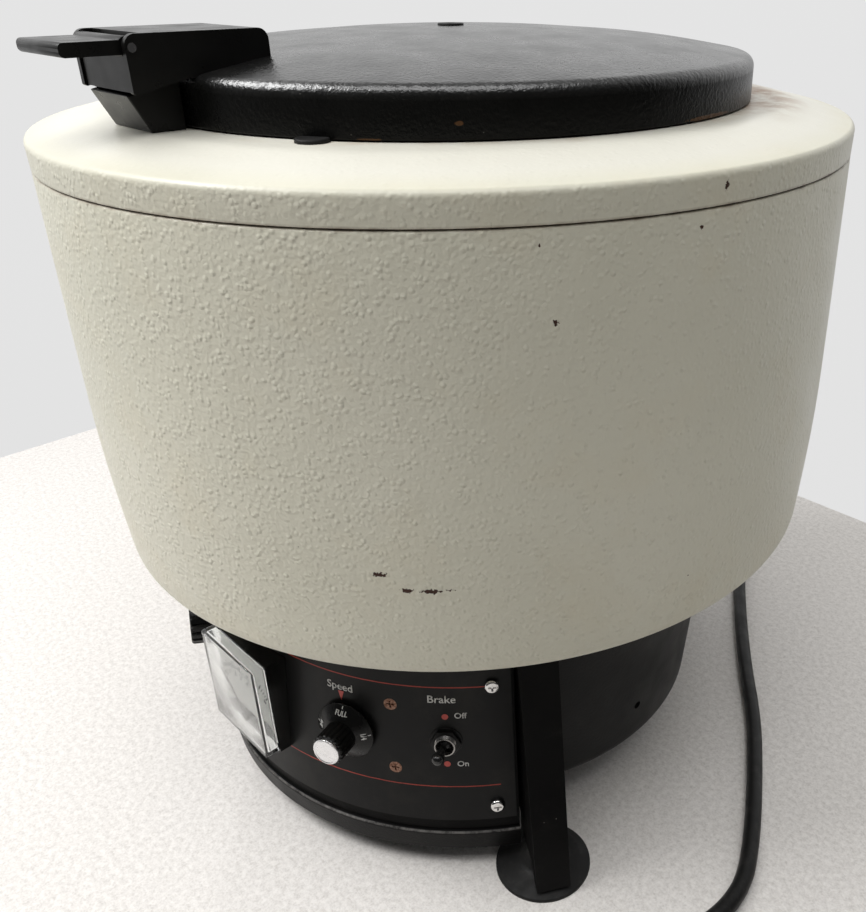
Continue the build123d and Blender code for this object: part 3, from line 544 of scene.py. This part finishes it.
def lid_paint():
    look = Look("lid_black", (0.006,) * 3, 0.34)
    tone = look.mix(look.noise(40, 4), (0.004, 0.004, 0.004), (0.008, 0.008, 0.0075))
    z = look.parts()[2]
    # Painted highlight: a lighter speckled band round the lid's shoulder.
    shoulder_sheen = look.calc("MULTIPLY", look.span(z, 0.354, 0.358), look.span(look.noise(85, 5, 0.7), 0.55, 0.78))
    tone = look.mix(look.calc("MULTIPLY", shoulder_sheen, 0.16), tone, (0.17, 0.16, 0.15))
    specks = look.calc("MULTIPLY", look.span(look.cells(240), 0.05, 0.08, 1.0, 0.0),
                       look.span(look.noise(33), 0.6, 0.66))
    tone = look.mix(look.calc("MULTIPLY", specks, 0.5), tone, (0.25, 0.24, 0.22))
    rust = look.most([look.spot(50.8, LID_RADIUS, 343.1, (1.5, 0.7), 0.6, 600.0),
                      look.spot(38.0, LID_RADIUS, 338.0, (4.0, 0.3), 0.6, 600.0),
                      look.spot(96.0, LID_RADIUS, 338.4, (14.0, 0.8), 0.6, 500.0)])
    tone = look.mix(look.calc("MULTIPLY", rust, 0.8), tone, (0.11, 0.055, 0.025))
    look.set("Base Color", tone)
    look.set("Roughness", look.span(look.noise(60, 4), 0.3, 0.7, 0.24, 0.34))
    look.set("Specular IOR Level", look.span(z, 0.3500, 0.3535, 0.10, 0.95))
    look.bump((look.noise(640, 2, 0.6), 0.8, 0.0004), (look.noise(190, 2), 0.2, 0.0006))
    return look.material


def moulding(name="black_moulding", roughness=0.28, shine=0.2):
    look = Look(name, (0.005, 0.005, 0.005), roughness, specular=shine)
    tone = look.mix(look.noise(26, 3), (0.004, 0.004, 0.004), (0.008, 0.0078, 0.0072))
    dust = look.span(look.noise(70, 5, 0.7), 0.60, 0.85)
    look.set("Base Color", look.mix(look.calc("MULTIPLY", dust, 0.10), tone, (0.10, 0.09, 0.075)))
    look.set("Roughness", look.span(look.noise(90, 4), 0.3, 0.7, roughness - 0.04, roughness + 0.1))
    look.bump((look.noise(1500, 2), 0.12, 0.0001))
    return look.material


def panel_paint():
    look = Look("panel_black", (0.007,) * 3, 0.34, specular=0.13)
    tone = look.mix(look.noise(24, 4), (0.005, 0.005, 0.0055), (0.010, 0.010, 0.0095))
    smudge = look.span(look.noise(38, 5, 0.7), 0.52, 0.8)
    tone = look.mix(look.calc("MULTIPLY", smudge, 0.12), tone, (0.09, 0.08, 0.06))
    x, y, z = look.parts()
    bearing = look.calc("ABSOLUTE", look.calc("ARCTAN2", x, look.calc("MULTIPLY", y, -1)))
    lines = []
    for height, end in ((0.1073, 50.4), (0.0522, 52.6)):
        off = look.calc("ABSOLUTE", look.calc("SUBTRACT", z, height))
        line = look.span(off, 0.00022, 0.00032, 1.0, 0.0)
        lines.append(look.calc("MULTIPLY", line,
                               look.span(bearing, math.radians(end), math.radians(end + 0.15), 1.0, 0.0)))
    line = look.calc("MULTIPLY", look.most(lines), look.span(look.noise(300, 3), 0.25, 0.4, 0.55, 1.0))
    look.set("Base Color", look.mix(line, tone, (0.36, 0.055, 0.04)))
    look.set("Roughness", look.span(look.noise(44, 4), 0.3, 0.7, 0.28, 0.42))
    look.bump((look.noise(1300, 2), 0.18, 0.00012))
    return look.material


def metal(name, colour, roughness, turned=None, grime=0.25):
    look = Look(name, colour, roughness, metallic=1.0)
    dull = tuple(c * 0.55 for c in colour)
    tone = look.mix(look.calc("MULTIPLY", look.span(look.noise(130, 5, 0.7), 0.45, 0.8), grime * 2), colour,
                    dull)
    look.set("Base Color", tone)
    look.set("Roughness", look.span(look.noise(180, 4), 0.3, 0.7, max(0.04, roughness - 0.06),
                                    roughness + 0.12))
    grain = look.noise(60, 3, 0.6, stretch=turned) if turned else look.noise(900, 3)
    look.bump((grain, 0.12, 0.0001))
    return look.material


def spun(name, centre, axis):
    """Fine rings, as on a spun cap: centre in mm."""
    look = Look(name, (0.80, 0.80, 0.81), 0.22, metallic=1.0)
    local = look.vector("SUBTRACT", look.here, tuple(c * MM for c in centre))
    radius = look.vector("LENGTH", look.vector("CROSS_PRODUCT", local, axis), out="Value")
    rings = look.calc("SINE", look.calc("MULTIPLY", radius, 24000))
    look.set("Base Color", look.mix(look.noise(400, 3), (0.70, 0.70, 0.71), (0.88, 0.88, 0.89)))
    look.set("Roughness", look.span(look.noise(300, 3), 0.3, 0.7, 0.18, 0.3))
    look.bump((rings, 0.25, 0.00005))
    return look.material


def rusty():
    look = Look("rusted_screw", (0.2, 0.1, 0.06), 0.6, metallic=0.45)
    look.set("Base Color", look.mix(look.span(look.noise(900, 4, 0.7), 0.35, 0.65), (0.17, 0.062, 0.028),
                                    (0.36, 0.22, 0.16)))
    look.set("Roughness", look.span(look.noise(700, 3), 0.3, 0.7, 0.45, 0.8))
    look.bump((look.noise(1600, 4), 0.5, 0.0002))
    return look.material


def rubber(name="black_rubber", level=0.009, roughness=0.55, shine=0.2):
    look = Look(name, (level,) * 3, roughness, specular=shine)
    tone = look.mix(look.noise(50, 3), (level * 0.8,) * 3, (level * 1.4, level * 1.35, level * 1.3))
    dust = look.calc("MULTIPLY", look.span(look.noise(140, 5, 0.7), 0.5, 0.8), 0.22)
    look.set("Base Color", look.mix(dust, tone, (0.09, 0.085, 0.08)))
    look.set("Roughness", look.span(look.noise(120, 4), 0.3, 0.7, roughness - 0.1, roughness + 0.12))
    look.bump((look.noise(1100, 3), 0.22, 0.00015))
    return look.material


def plain(name, colour, roughness, variation=0.12, metallic=0.0, grain=800.0):
    look = Look(name, colour, roughness, metallic=metallic)
    low, high = (tuple(c * k for c in colour) for k in (1 - variation, 1 + variation))
    look.set("Base Color", look.mix(look.noise(160, 4), low, high))
    look.set("Roughness", look.span(look.noise(210, 3), 0.3, 0.7, max(0.05, roughness - 0.06),
                                    roughness + 0.08))
    look.bump((look.noise(grain, 2), 0.1, 0.0001))
    return look.material


def clear_plastic():
    look = Look("clear_window", (0.93, 0.95, 0.95), 0.06)
    look.set("Transmission Weight", 1.0)
    look.set("IOR", 1.47)
    scratches = look.noise(70, 4, 0.6, stretch=(1, 1, 14))
    look.set("Roughness", look.span(look.noise(90, 4), 0.35, 0.75, 0.03, 0.16))
    look.set("Base Color", look.mix(look.noise(60, 4), (0.90, 0.92, 0.92), (0.97, 0.98, 0.98)))
    look.bump((scratches, 0.08, 0.0001))
    return look.material


def table_top():
    look = Look("table_top", (0.72, 0.69, 0.66), 0.6, specular=0.12)
    speck = look.span(look.noise(330, 3, 0.7), 0.35, 0.65)
    fine = look.span(look.noise(900, 2, 0.6), 0.35, 0.65)
    tone = look.mix(speck, (0.58, 0.55, 0.52), (0.77, 0.74, 0.71))
    tone = look.mix(look.calc("MULTIPLY", fine, 0.45), tone, (0.84, 0.82, 0.80))
    look.set("Base Color", tone)
    look.bump((fine, 0.12, 0.0002))
    return look.material


make_camera()
make_light()
CREAM = enamel()
# Painted shade: a darker, duller copy of the black paint, for the panel frame down in its groove and the legs
# under the bowl.
SHADE_BLACK = black_paint("painted_shade_black", 0.005, 0.42, shine=0.07)
GASKET = plain("gasket_brown", (0.035, 0.022, 0.014), 0.7)
# The rail's top outer edge gets a painted highlight.
RAIL_BLACK = black_paint("rail_black", 0.006, 0.38, shine=0.12, edge=(147.0, 24.6))
BLACK = black_paint("black_enamel", 0.006, 0.34)
CAN_BLACK = black_paint("can_black", 0.009, 0.42, 700.0)
LID_BLACK = lid_paint()
MOULDING = moulding()
PANEL = panel_paint()
KNOB = moulding("knob_black", 0.22)
METER_BLACK = moulding("meter_black", 0.16)
CHROME = metal("chrome", (0.74, 0.73, 0.72), 0.12)
DULL_CHROME = metal("dull_chrome", (0.30, 0.29, 0.28), 0.2)
BAT_BLACK = plain("bat_black", (0.012, 0.012, 0.012), 0.18)
STEEL = metal("steel", (0.52, 0.51, 0.50), 0.32)
LINER_STEEL = metal("liner_steel", (0.60, 0.60, 0.60), 0.28, (1, 1, 30))
ALUMINIUM = metal("cast_aluminium", (0.66, 0.66, 0.66), 0.38)
SHIELD_METAL = metal("spun_aluminium", (0.74, 0.74, 0.75), 0.3, (1, 1, 40))
BRASS = metal("brass", (0.72, 0.53, 0.25), 0.26)
COPPER = metal("winding", (0.50, 0.24, 0.13), 0.4)
RUSTED = rusty()
RUBBER = rubber()
CORD_LOOK = rubber("cord_rubber", 0.006, 0.42, 0.2)
CLEAR = clear_plastic()
DIAL_WHITE = plain("dial_white", (0.80, 0.79, 0.75), 0.45, 0.04)
WHITE_INK = plain("white_ink", (0.62, 0.62, 0.60), 0.5, 0.15)
RED_INK = plain("red_ink", (0.50, 0.06, 0.045), 0.45, 0.12)
INK = plain("black_ink", (0.02, 0.02, 0.02), 0.5, 0.2)


# ---------------------------------------------------------------- cord (comes first, with the camera)
def coil_points():
    points = []
    shrink = 0.75 + 0.25 * math.cos(math.radians(COIL_STEP))
    angle = COIL_LAY[0][0]
    while angle <= COIL_LAY[-1][0]:
        for (a0, r0, z0), (a1, r1, z1) in zip(COIL_LAY, COIL_LAY[1:]):
            if a0 <= angle <= a1:
                share = (angle - a0) / (a1 - a0)
                ease = share * share * (3 - 2 * share)
                radius, height = r0 + (r1 - r0) * ease, z0 + (z1 - z0) * ease
                break
        turn = math.radians(angle)
        points.append((COIL_AT[0] + radius / shrink * math.cos(turn),
                       COIL_AT[1] + radius / shrink * math.sin(turn),
                       height))
        angle += COIL_STEP
    return points


def make_cord():
    curve = bpy.data.curves.new("cord", "CURVE")
    curve.dimensions = "3D"
    spline = curve.splines.new("NURBS")
    route = LEAD_ROUTE + coil_points() + TAIL_ROUTE
    spline.points.add(len(route) - 1)
    for point, (x, y, z) in zip(spline.points, route):
        point.co = (x * MM, y * MM, z * MM, 1)
    spline.order_u = 3
    spline.use_endpoint_u = True
    spline.resolution_u = 8
    curve.bevel_depth = CORD_RADIUS * MM
    curve.bevel_resolution = 6
    curve.use_fill_caps = True
    cord = bpy.data.objects.new("power_cord", curve)
    bpy.context.scene.collection.objects.link(cord)
    dress(cord, "base", CORD_LOOK, ("cord_tube", "cord_coil"))

    line = along(polar(GLAND_BEARING, 0, GLAND_Z), polar(GLAND_BEARING, 1))
    ribs = [(8.0, 117.0), (8.0, 126.0), (10.5, 126.3), (10.5, 128.6, 0.8), (7.6, 128.9, 0.4)]
    reach = GLAND_END - 130.0
    for k in range(6):
        low, high = 130.0 + reach * k / 6, 130.0 + reach * (k + 0.62) / 6
        wide = 7.4 - 2.3 * k / 6
        ribs += [(wide, low, 0.3), (wide, high, 0.3), (wide - 1.0, high + 0.25, 0.2),
                 (wide - 1.0, low + reach / 6 - 0.25, 0.2)]
    ribs += [(4.9, GLAND_END, 0.4), (4.25, GLAND_END), (4.25, 117.0)]
    gland = lathe("cord_strain_relief", rounded(ribs, 3), 48, place=line)
    dress(smooth(gland), "base", RUBBER, ("cord_gland",))

    end, before = Vector(TAIL_ROUTE[-1]), Vector(TAIL_ROUTE[-2])
    direction = Vector((26.0, -2.5, 0.1))
    place = along(end, direction)
    boot = [(4.2, 0), (5.2, 0, 0.4)]
    for k in range(4):
        low = 1.5 + k * 4.6
        wide = 5.2 + 0.5 * k
        boot += [(wide, low + 2.6, 0.3), (wide - 0.8, low + 2.9, 0.2), (wide - 0.8, low + 4.3, 0.2),
                 (wide + 0.5, low + 4.6, 0.3)]
    boot += [(7.6, 20.5), (4.2, 20.5)]
    body = []
    for at, wide, deep in ((19.6, 8.0, 7.6), (21.0, 10.4, 9.6), (25.0, 11.5, 11.0), (38.0, 11.6, 11.4),
                           (47.0, 11.7, 11.6),
                           (52.6, 11.7, 11.6), (54.0, 10.9, 10.8)):
        ring = []
        for k in range(40):
            turn = 2 * math.pi * k / 40
            c, s = math.cos(turn), math.sin(turn)
            ring.append((min(deep * abs(c) ** 0.8, 11.0 if c > 0 else 11.6) * (1 if c > 0 else -1),
                         wide * abs(s) ** 0.8 * (1 if s > 0 else -1), at))
        body.append(ring)
    plug = join("mains_plug", [lathe("boot", rounded(boot, 2), 40, place=place),
                               skin("body", body, place=place)])
    dress(smooth(plug, 40), "base", CORD_LOOK, ("plug_body",))
    blades = []
    for side in (-6.35, 6.35):
        blade = block("blade", (-1.15, 5.15), (side - 0.75, side + 0.75), (53.0, 70.8), place)
        blades.append(soften(blade, 0.35))
    blades.append(lathe("pin", rounded([(0, 53.0), (2.4, 53.0), (2.4, 73.8, 2.0), (0, 73.8)], 4), 24,
                        place=place @ Matrix.Translation((-6.5, 0, 0))))
    pins = join("plug_blades", blades)
    dress(smooth(pins), "base", BRASS, ("plug_pins",))


make_cord()


# ---------------------------------------------------------------- bowl
def make_bowl():
    floor_top, inside = BOWL_FLOOR_Z + 5.0, BOWL_RADIUS - 4.0
    wall = [(24, BOWL_FLOOR_Z), (174.0, BOWL_FLOOR_Z, 8)]
    wall += [(174.0 + 4.2 * math.sin(math.pi / 2 * k / 8), BOWL_FLOOR_Z + 80.0 * k / 8) for k in range(2, 9)]
    wall += [(178.2, 250), (178.1, 285), (BOWL_RADIUS, SEAM_Z + 0.25, 1.2), (inside, SEAM_Z + 0.25),
             (inside, 222), (170.2, floor_top, 4),
             (24, floor_top)]
    bowl = lathe("bowl_wall", rounded(wall, 6), 256)
    dress(smooth(bowl, 50), "base", CREAM, ("bowl_shell",))

    low = SEAM_Z + SEAM_GAP - 0.1
    ring = [(BOWL_RADIUS, low, 0.4), (178.3, 330.5, 2.5), (RIM_FLAT_RADIUS, RIM_Z, 30),
            (MOUTH_RADIUS, RIM_Z, 1.5),
            (MOUTH_RADIUS, 322, 0.8), (128, 322, 0.8), (128, RIM_Z - 4), (RIM_FLAT_RADIUS - 1, RIM_Z - 4),
            (173.5, 326.0),
            (173.5, low)]
    rim = lathe("bowl_rim", rounded(ring, 7), 256)
    dress(smooth(rim, 50), "base", CREAM, ("bowl_top_ring",))


def make_lid():
    profile = [(LID_RADIUS - LID_WALL, LID_BOTTOM_Z, 0.8), (LID_RADIUS, LID_BOTTOM_Z, 0.8),
               (LID_RADIUS, LID_SHOULDER_Z, 4.6),
               (100, 360.7, 400), (45, 364.9, 600), (5.0, LID_TOP_Z - 0.05), (5.0, LID_TOP_Z - LID_WALL),
               (45, 361.9, 600),
               (100, 357.6, 400), (LID_RADIUS - LID_WALL, LID_SHOULDER_Z - LID_WALL, 2)]
    lid = lathe("lid_dome", rounded(profile, 8), 256)
    dress(smooth(lid, 50), "lid", LID_BLACK, ("lid_shell",))
    plug = [(0, LID_TOP_Z - 5), (4.9, LID_TOP_Z - 5), (4.9, LID_TOP_Z), (5.8, LID_TOP_Z, 0.1),
            (5.8, LID_TOP_Z + 0.8, 0.5),
            (2.2, LID_TOP_Z + 0.8, 0.3), (1.6, LID_TOP_Z + 0.3), (0, LID_TOP_Z + 0.3)]
    plug = lathe("lid_port_cap", rounded(plug, 3), 48)
    dress(smooth(plug), "lid", RUBBER, ("lid_port_plug",))


make_bowl()
make_lid()


# ---------------------------------------------------------------- lettering and print
def lettering(name, words, size, put, body, material, weight=0.0, lean=0.0):
    """Thin raised print; put(x, y, h) places a point of the text, in mm, h above the surface."""
    curve = bpy.data.curves.new(name, "FONT")
    curve.body, curve.size, curve.offset, curve.shear = words, size, weight, lean
    curve.align_x, curve.align_y, curve.resolution_u = "CENTER", "CENTER", 3
    source = bpy.data.objects.new(name, curve)
    bpy.context.scene.collection.objects.link(source)
    bpy.context.view_layer.update()
    flat = bpy.data.meshes.new_from_object(source.evaluated_get(bpy.context.evaluated_depsgraph_get()))
    bpy.data.objects.remove(source)
    return printed(name, flat, put, body, material)


def printed(name, flat, put, body, material):
    """Turns a flat mesh into a closed film of ink on a surface."""
    work = bmesh.new()
    work.from_mesh(flat)
    bmesh.ops.remove_doubles(work, verts=work.verts, dist=1e-4)
    top = bmesh.ops.extrude_face_region(work, geom=list(work.faces))["geom"]
    raised = {v for v in top if isinstance(v, bmesh.types.BMVert)}
    for v in work.verts:
        v.co = Vector(put(v.co.x, v.co.y, 0.11 if v in raised else 0.02)) * MM
    bmesh.ops.recalc_face_normals(work, faces=work.faces)
    mesh = bpy.data.meshes.new(name)
    work.to_mesh(mesh)
    work.free()
    return dress(link_mesh(name, mesh), body, material)


def flat_shape(points):
    mesh = bpy.data.meshes.new("flat")
    mesh.from_pydata([(x, y, 0) for x, y in points], [], [tuple(range(len(points)))])
    return mesh


def disc(radius, count=28):
    return [(radius * math.cos(2 * math.pi * k / count),
             radius * math.sin(2 * math.pi * k / count)) for k in range(count)]


def panel_spot(bearing, z):
    """put() for print that follows the panel's curve."""
    def put(x, y, h):
        height = z + y * math.cos(PANEL_LEAN)
        turn = bearing + math.degrees(x / panel_radius(z))
        return on_panel(turn, height) @ Vector((0, 0, h))
    return put


def make_print():
    for name, words, size, bearing, z in (("speed", "Speed", 5.6, 22.9, 100.3),
                                          ("brake", "Brake", 5.6, 42.6, 100.9),
                                          ("off", "Off", 4.2, 45.9, 92.2), ("on", "On", 4.2, 46.0, 65.4)):
        lettering("word_" + name, words, size, panel_spot(bearing, z), "base", WHITE_INK, 0.05)
    printed("mark_speed", flat_shape([(-1.5, 2.4), (0, -2.6), (1.5, 2.4)]), panel_spot(23.1, 95.6), "base",
            RED_INK)
    for name, z in (("off", 91.7), ("on", 65.4)):
        printed("dot_" + name, flat_shape(disc(1.5)), panel_spot(43.1, z), "base", RED_INK)


make_print()


# ---------------------------------------------------------------- controls
def flutes(radius, depth, count, z, sharp=1.0):
    ring = []
    for k in range(count * 8):
        turn = 2 * math.pi * k / (count * 8)
        cut = max(0.0, math.cos(count * turn)) ** sharp
        r = radius - depth * cut
        ring.append((r * math.cos(turn), r * math.sin(turn), z))
    return ring


def make_speed_knob():
    place = on_panel(*SPEED_AT)
    skirt = lathe("skirt", rounded([(0, -20), (3, -20), (3, 3.2), (7.8, 3.2), (7.8, 1.2), (14.5, 1.2, 0.3),
                                    (14.5, 2.4, 0.5),
                                    (9.0, 6.0, 1.0), (8.0, 6.6, 0.4), (0, 6.6)], 4), 96, place=place)
    grip = skin("grip", [flutes(7.6, 0.5, 20, 6.2), flutes(7.6, 0.5, 20, 16.6), flutes(7.45, 0.45, 20, 17.0),
                         flutes(7.1, 0.3, 20, 17.3)], place=place)
    knob = join("speed_dial", [skirt, grip])
    dress(smooth(knob, 32), "speed_knob", KNOB, ("speed_knob",))
    cap = lathe("speed_cap", rounded([(0, 17.2), (6.5, 17.2), (6.5, 18.4, 0.35), (5.8, 18.7, 0.3),
                                      (5.4, 18.45, 0.2),
                                      (0, 18.3)], 4), 72, place=place)
    look = spun("spun_cap", place @ Vector((0, 0, 18.0)), tuple(place.to_3x3().col[2]))
    dress(smooth(cap, 40), "speed_knob", look, ("speed_knob_cap",))

    def on_skirt(turn, reach):
        """put() for print on the sloping number ring, read from outside it."""
        angle = math.radians(turn)
        out, side = Vector((math.sin(angle), math.cos(angle))), Vector((math.cos(angle), -math.sin(angle)))

        def put(x, y, h):
            spot = out * (reach + y) + side * x
            z = 2.4 + (14.5 - spot.length) * 3.6 / 5.5
            return place @ Vector((spot.x + out.x * h * 0.6, spot.y + out.y * h * 0.6, z + h * 0.8 + 0.05))
        return put

    for name, words, turn in (("full", "FULL", 0), ("three", "3/4", -78), ("half", "1/2", 180),
                              ("quarter", "1/4", 82)):
        lettering("ring_" + name, words, 2.9, on_skirt(turn, 11.0), "speed_knob", WHITE_INK,
                  0.06)
        printed("tick_" + name, flat_shape([(-0.2, -0.55), (0.2, -0.55), (0.2, 0.55), (-0.2, 0.55)]),
                on_skirt(turn, 13.3), "speed_knob", WHITE_INK)


def make_timer_knob():
    place = on_panel(*TIMER_AT)
    base = lathe("base", rounded([(0, -20), (3, -20), (3, 3.6), (7.8, 3.6), (7.8, 1.2), (13.0, 1.2, 0.4),
                                  (13.0, 3.0, 0.4),
                                  (11.5, 3.6), (0, 3.6)], 4), 96, place=place)
    grip = skin("grip", [flutes(12.9, 1.0, 18, 3.2, 0.7), flutes(12.4, 1.0, 18, 15.4, 0.7),
                         flutes(12.1, 0.8, 18, 16.1, 0.7),
                         flutes(11.4, 0.4, 18, 16.6, 0.7)], place=place)
    pointer = block("pointer", (-0.5, 0.5), (3.0, 11.2), (16.5, 16.75), place)
    knob = join("timer_dial", [base, grip, pointer])
    dress(smooth(knob, 32), "timer_knob", KNOB, ("timer_knob",))


def hexagon(radius, low, high, place, name="hex"):
    ring = [(radius * math.cos(math.pi / 3 * k), radius * math.sin(math.pi / 3 * k)) for k in range(6)]
    return soften(skin(name, [[(x, y, z) for x, y in ring] for z in (low, high)], place=place), 0.35, 2)


def make_toggle():
    place = on_panel(*BRAKE_AT)
    nut = hexagon(7.2, 0.3, 2.3, place, "switch_nut")
    washer = lathe("washer", rounded([(5.2, 0.02), (7.6, 0.02), (7.6, 0.35, 0.1), (5.2, 0.35)], 2), 48,
                   place=place)
    body = soften(block("body", (-7, 7), (-14, 14), (-26, -6), place), 0.6)
    dark = join("switch_nut", [nut, washer, body])
    dress(smooth(dark), "base", BLACK, ("brake_switch",))
    ring = [(3.6, -6), (4.9, -6)]
    for k in range(4):
        ring += [(4.85, 2.4 + 0.5 * k), (4.6, 2.65 + 0.5 * k)]
    ring += [(4.85, 4.5), (4.75, 5.0, 0.2), (4.1, 5.0, 0.2), (3.6, 4.2), (3.6, -3)]
    bushing = lathe("switch_bushing", rounded(ring, 2), 64, place=place)
    dress(smooth(bushing, 40), "base", DULL_CHROME)
    pivot = (place @ Matrix.Translation((0, 0, 1.5)) @ Matrix.Rotation(math.radians(8), 4, "X")
             @ Matrix.Rotation(math.radians(-14), 4, "Y"))
    bat = [(0, -3.0)]
    bat += [(3.0 * math.cos(math.radians(a)), 3.0 * math.sin(math.radians(a))) for a in range(-72, 61, 12)]
    bat += [(1.7, 3.2), (2.3, 7.2)]
    bat += [(2.9 * math.cos(math.radians(a)), 9.6 + 2.9 * math.sin(math.radians(a))) for a in range(-34, 84,
                                                                                                    13)]
    bat += [(0, 12.5)]
    lever = lathe("toggle_bat", bat, 40, place=pivot)
    dress(smooth(lever, 60), "brake_lever", BAT_BLACK, ("brake_lever",))


def make_meter():
    low, high, half, edge = METER_Z - 25.6, METER_Z + 25.6, 23.6, 1.8
    shell = block("meter_window", (-half, half), (METER_FRONT_Y, METER_BACK_Y), (low, high))
    work = bmesh.new()
    work.from_mesh(shell.data)
    bmesh.ops.delete(work, geom=[f for f in work.faces if f.normal.y > 0.9], context="FACES_ONLY")
    work.to_mesh(shell.data)
    work.free()
    inner = block("inner", (edge - half, half - edge), (METER_FRONT_Y + edge, METER_BACK_Y),
                  (low + edge, high - edge))
    work = bmesh.new()
    work.from_mesh(inner.data)
    bmesh.ops.delete(work, geom=[f for f in work.faces if f.normal.y > 0.9], context="FACES_ONLY")
    bmesh.ops.reverse_faces(work, faces=work.faces)
    work.to_mesh(inner.data)
    work.free()
    window = join("meter_window", [shell, inner])
    work = bmesh.new()
    work.from_mesh(window.data)
    bmesh.ops.bridge_loops(work, edges=[e for e in work.edges if e.is_boundary])
    bmesh.ops.recalc_face_normals(work, faces=work.faces)
    work.to_mesh(window.data)
    work.free()
    soften(window, 0.9, 3, 60)
    dress(smooth(window, 50), "base", CLEAR, ("meter_cover",))

    def on_dial(x, z):
        def put(u, v, h):
            return Vector((x + u, METER_BACK_Y - 0.8 - h, z + v))
        return put

    for step in range(25):
        turn = math.radians(-42 + 84 * step / 24)
        reach, length = 26.5, 3.4 if step % 4 == 0 else 2.0
        side, up = math.sin(turn), math.cos(turn)
        wide = 0.32 if step % 4 == 0 else 0.18
        corners = [(side * r + up * w, up * r - side * w) for r, w in
                   ((reach, -wide), (reach, wide), (reach + length, wide), (reach + length, -wide))]
        printed("scale_%02d" % step, flat_shape(corners), on_dial(0, NEEDLE_Z), "base", INK)
        if step % 4 == 0:
            lettering("figure_%d" % (step // 4), str(step // 4), 4.2,
                      on_dial(side * 23.4, NEEDLE_Z + up * 23.4), "base", INK, 0.03)
    apron = [(x, z) for x, z in rounded([(-20.3, 55.6), (20.3, 55.6), (20.3, 62.0, 3), (9, 66.0, 8),
                                         (-9, 66.0, 8),
                                         (-20.3, 62.0, 3)], 6)]
    printed("meter_apron", flat_shape(apron), on_dial(0, 0), "base", METER_BLACK)


make_speed_knob()
make_timer_knob()
make_toggle()
make_meter()


# ---------------------------------------------------------------- softened edges on CAD nodes that stay
def round_node(name, width, degrees=35):
    """Bevels a CAD node's sharp edges with modifiers, which leave its own mesh as it is."""
    node = NODES[name]
    weld = node.modifiers.new("weld", "WELD")
    weld.merge_threshold = 1e-6
    bevel = node.modifiers.new("bevel", "BEVEL")
    bevel.width, bevel.segments, bevel.limit_method = width * MM, 2, "ANGLE"
    bevel.angle_limit = math.radians(degrees)
    bevel.harden_normals = False
    bevel.use_clamp_overlap = True


for name, width in (("latch_housing", 0.7), ("latch_keeper", 0.5), ("latch_lever", 0.6), ("leg_left", 0.8),
                    ("leg_right", 0.8), ("leg_rear", 0.8), ("meter_case", 0.6), ("hinge_bracket", 0.5),
                    ("lid_hinge_arm", 0.5), ("rotor_head", 0.8), ("rotor_nut", 0.5)):
    round_node(name, width)


# ---------------------------------------------------------------- table
def make_table():
    outline = rounded([(-521, -1000, 20), (900, -1000, 20), (900, 327, 12), (-521, 327, 12)], 6)
    rings = [[(x, y, z) for x, y in outline] for z in (-30.0, 0.0)]
    table = soften(skin("table", rings), 2.5, 3)
    table.data.materials.append(table_top())
    smooth(table)


make_table()

# ---------------------------------------------------------------- looks of the CAD nodes that stay
KEPT = {
    "seam_gasket": GASKET, "guard_ring": STEEL, "chamber_liner": LINER_STEEL, "spindle_boot": RUBBER,
    "lid_bumpers": RUBBER,
    "latch_keeper": MOULDING, "hinge_bracket": BLACK, "hinge_pin": STEEL, "ring_screws": STEEL,
    "latch_housing": MOULDING,
    "latch_pin": CHROME, "latch_lever": MOULDING, "lid_hinge_arm": BLACK, "lid_screws": STEEL,
    "base_can": CAN_BLACK,
    "base_rail": RAIL_BLACK, "panel_frame": SHADE_BLACK, "control_panel": PANEL, "panel_screws": CHROME,
    "chassis_screws": RUSTED,
    "meter_case": METER_BLACK, "meter_dial": DIAL_WHITE, "meter_needle": INK, "speed_control": STEEL,
    "timer_unit": STEEL, "leg_left": SHADE_BLACK, "leg_right": SHADE_BLACK, "leg_rear": SHADE_BLACK,
    "feet": RUBBER, "leg_bolts": STEEL,
    "motor_case": STEEL, "brush_holders": KNOB, "motor_top_bell": ALUMINIUM, "motor_bottom_bell": ALUMINIUM,
    "motor_mounts": RUBBER, "motor_bearings": STEEL, "motor_shaft": STEEL, "armature": COPPER,
    "rotor_head": ALUMINIUM,
    "rotor_nut": BRASS, "tube_shield_1": SHIELD_METAL, "tube_shield_2": SHIELD_METAL,
    "tube_shield_3": SHIELD_METAL,
    "tube_shield_4": SHIELD_METAL,
}
for name, material in KEPT.items():
    node = NODES[name]
    node.data.materials.clear()
    node.data.materials.append(material)
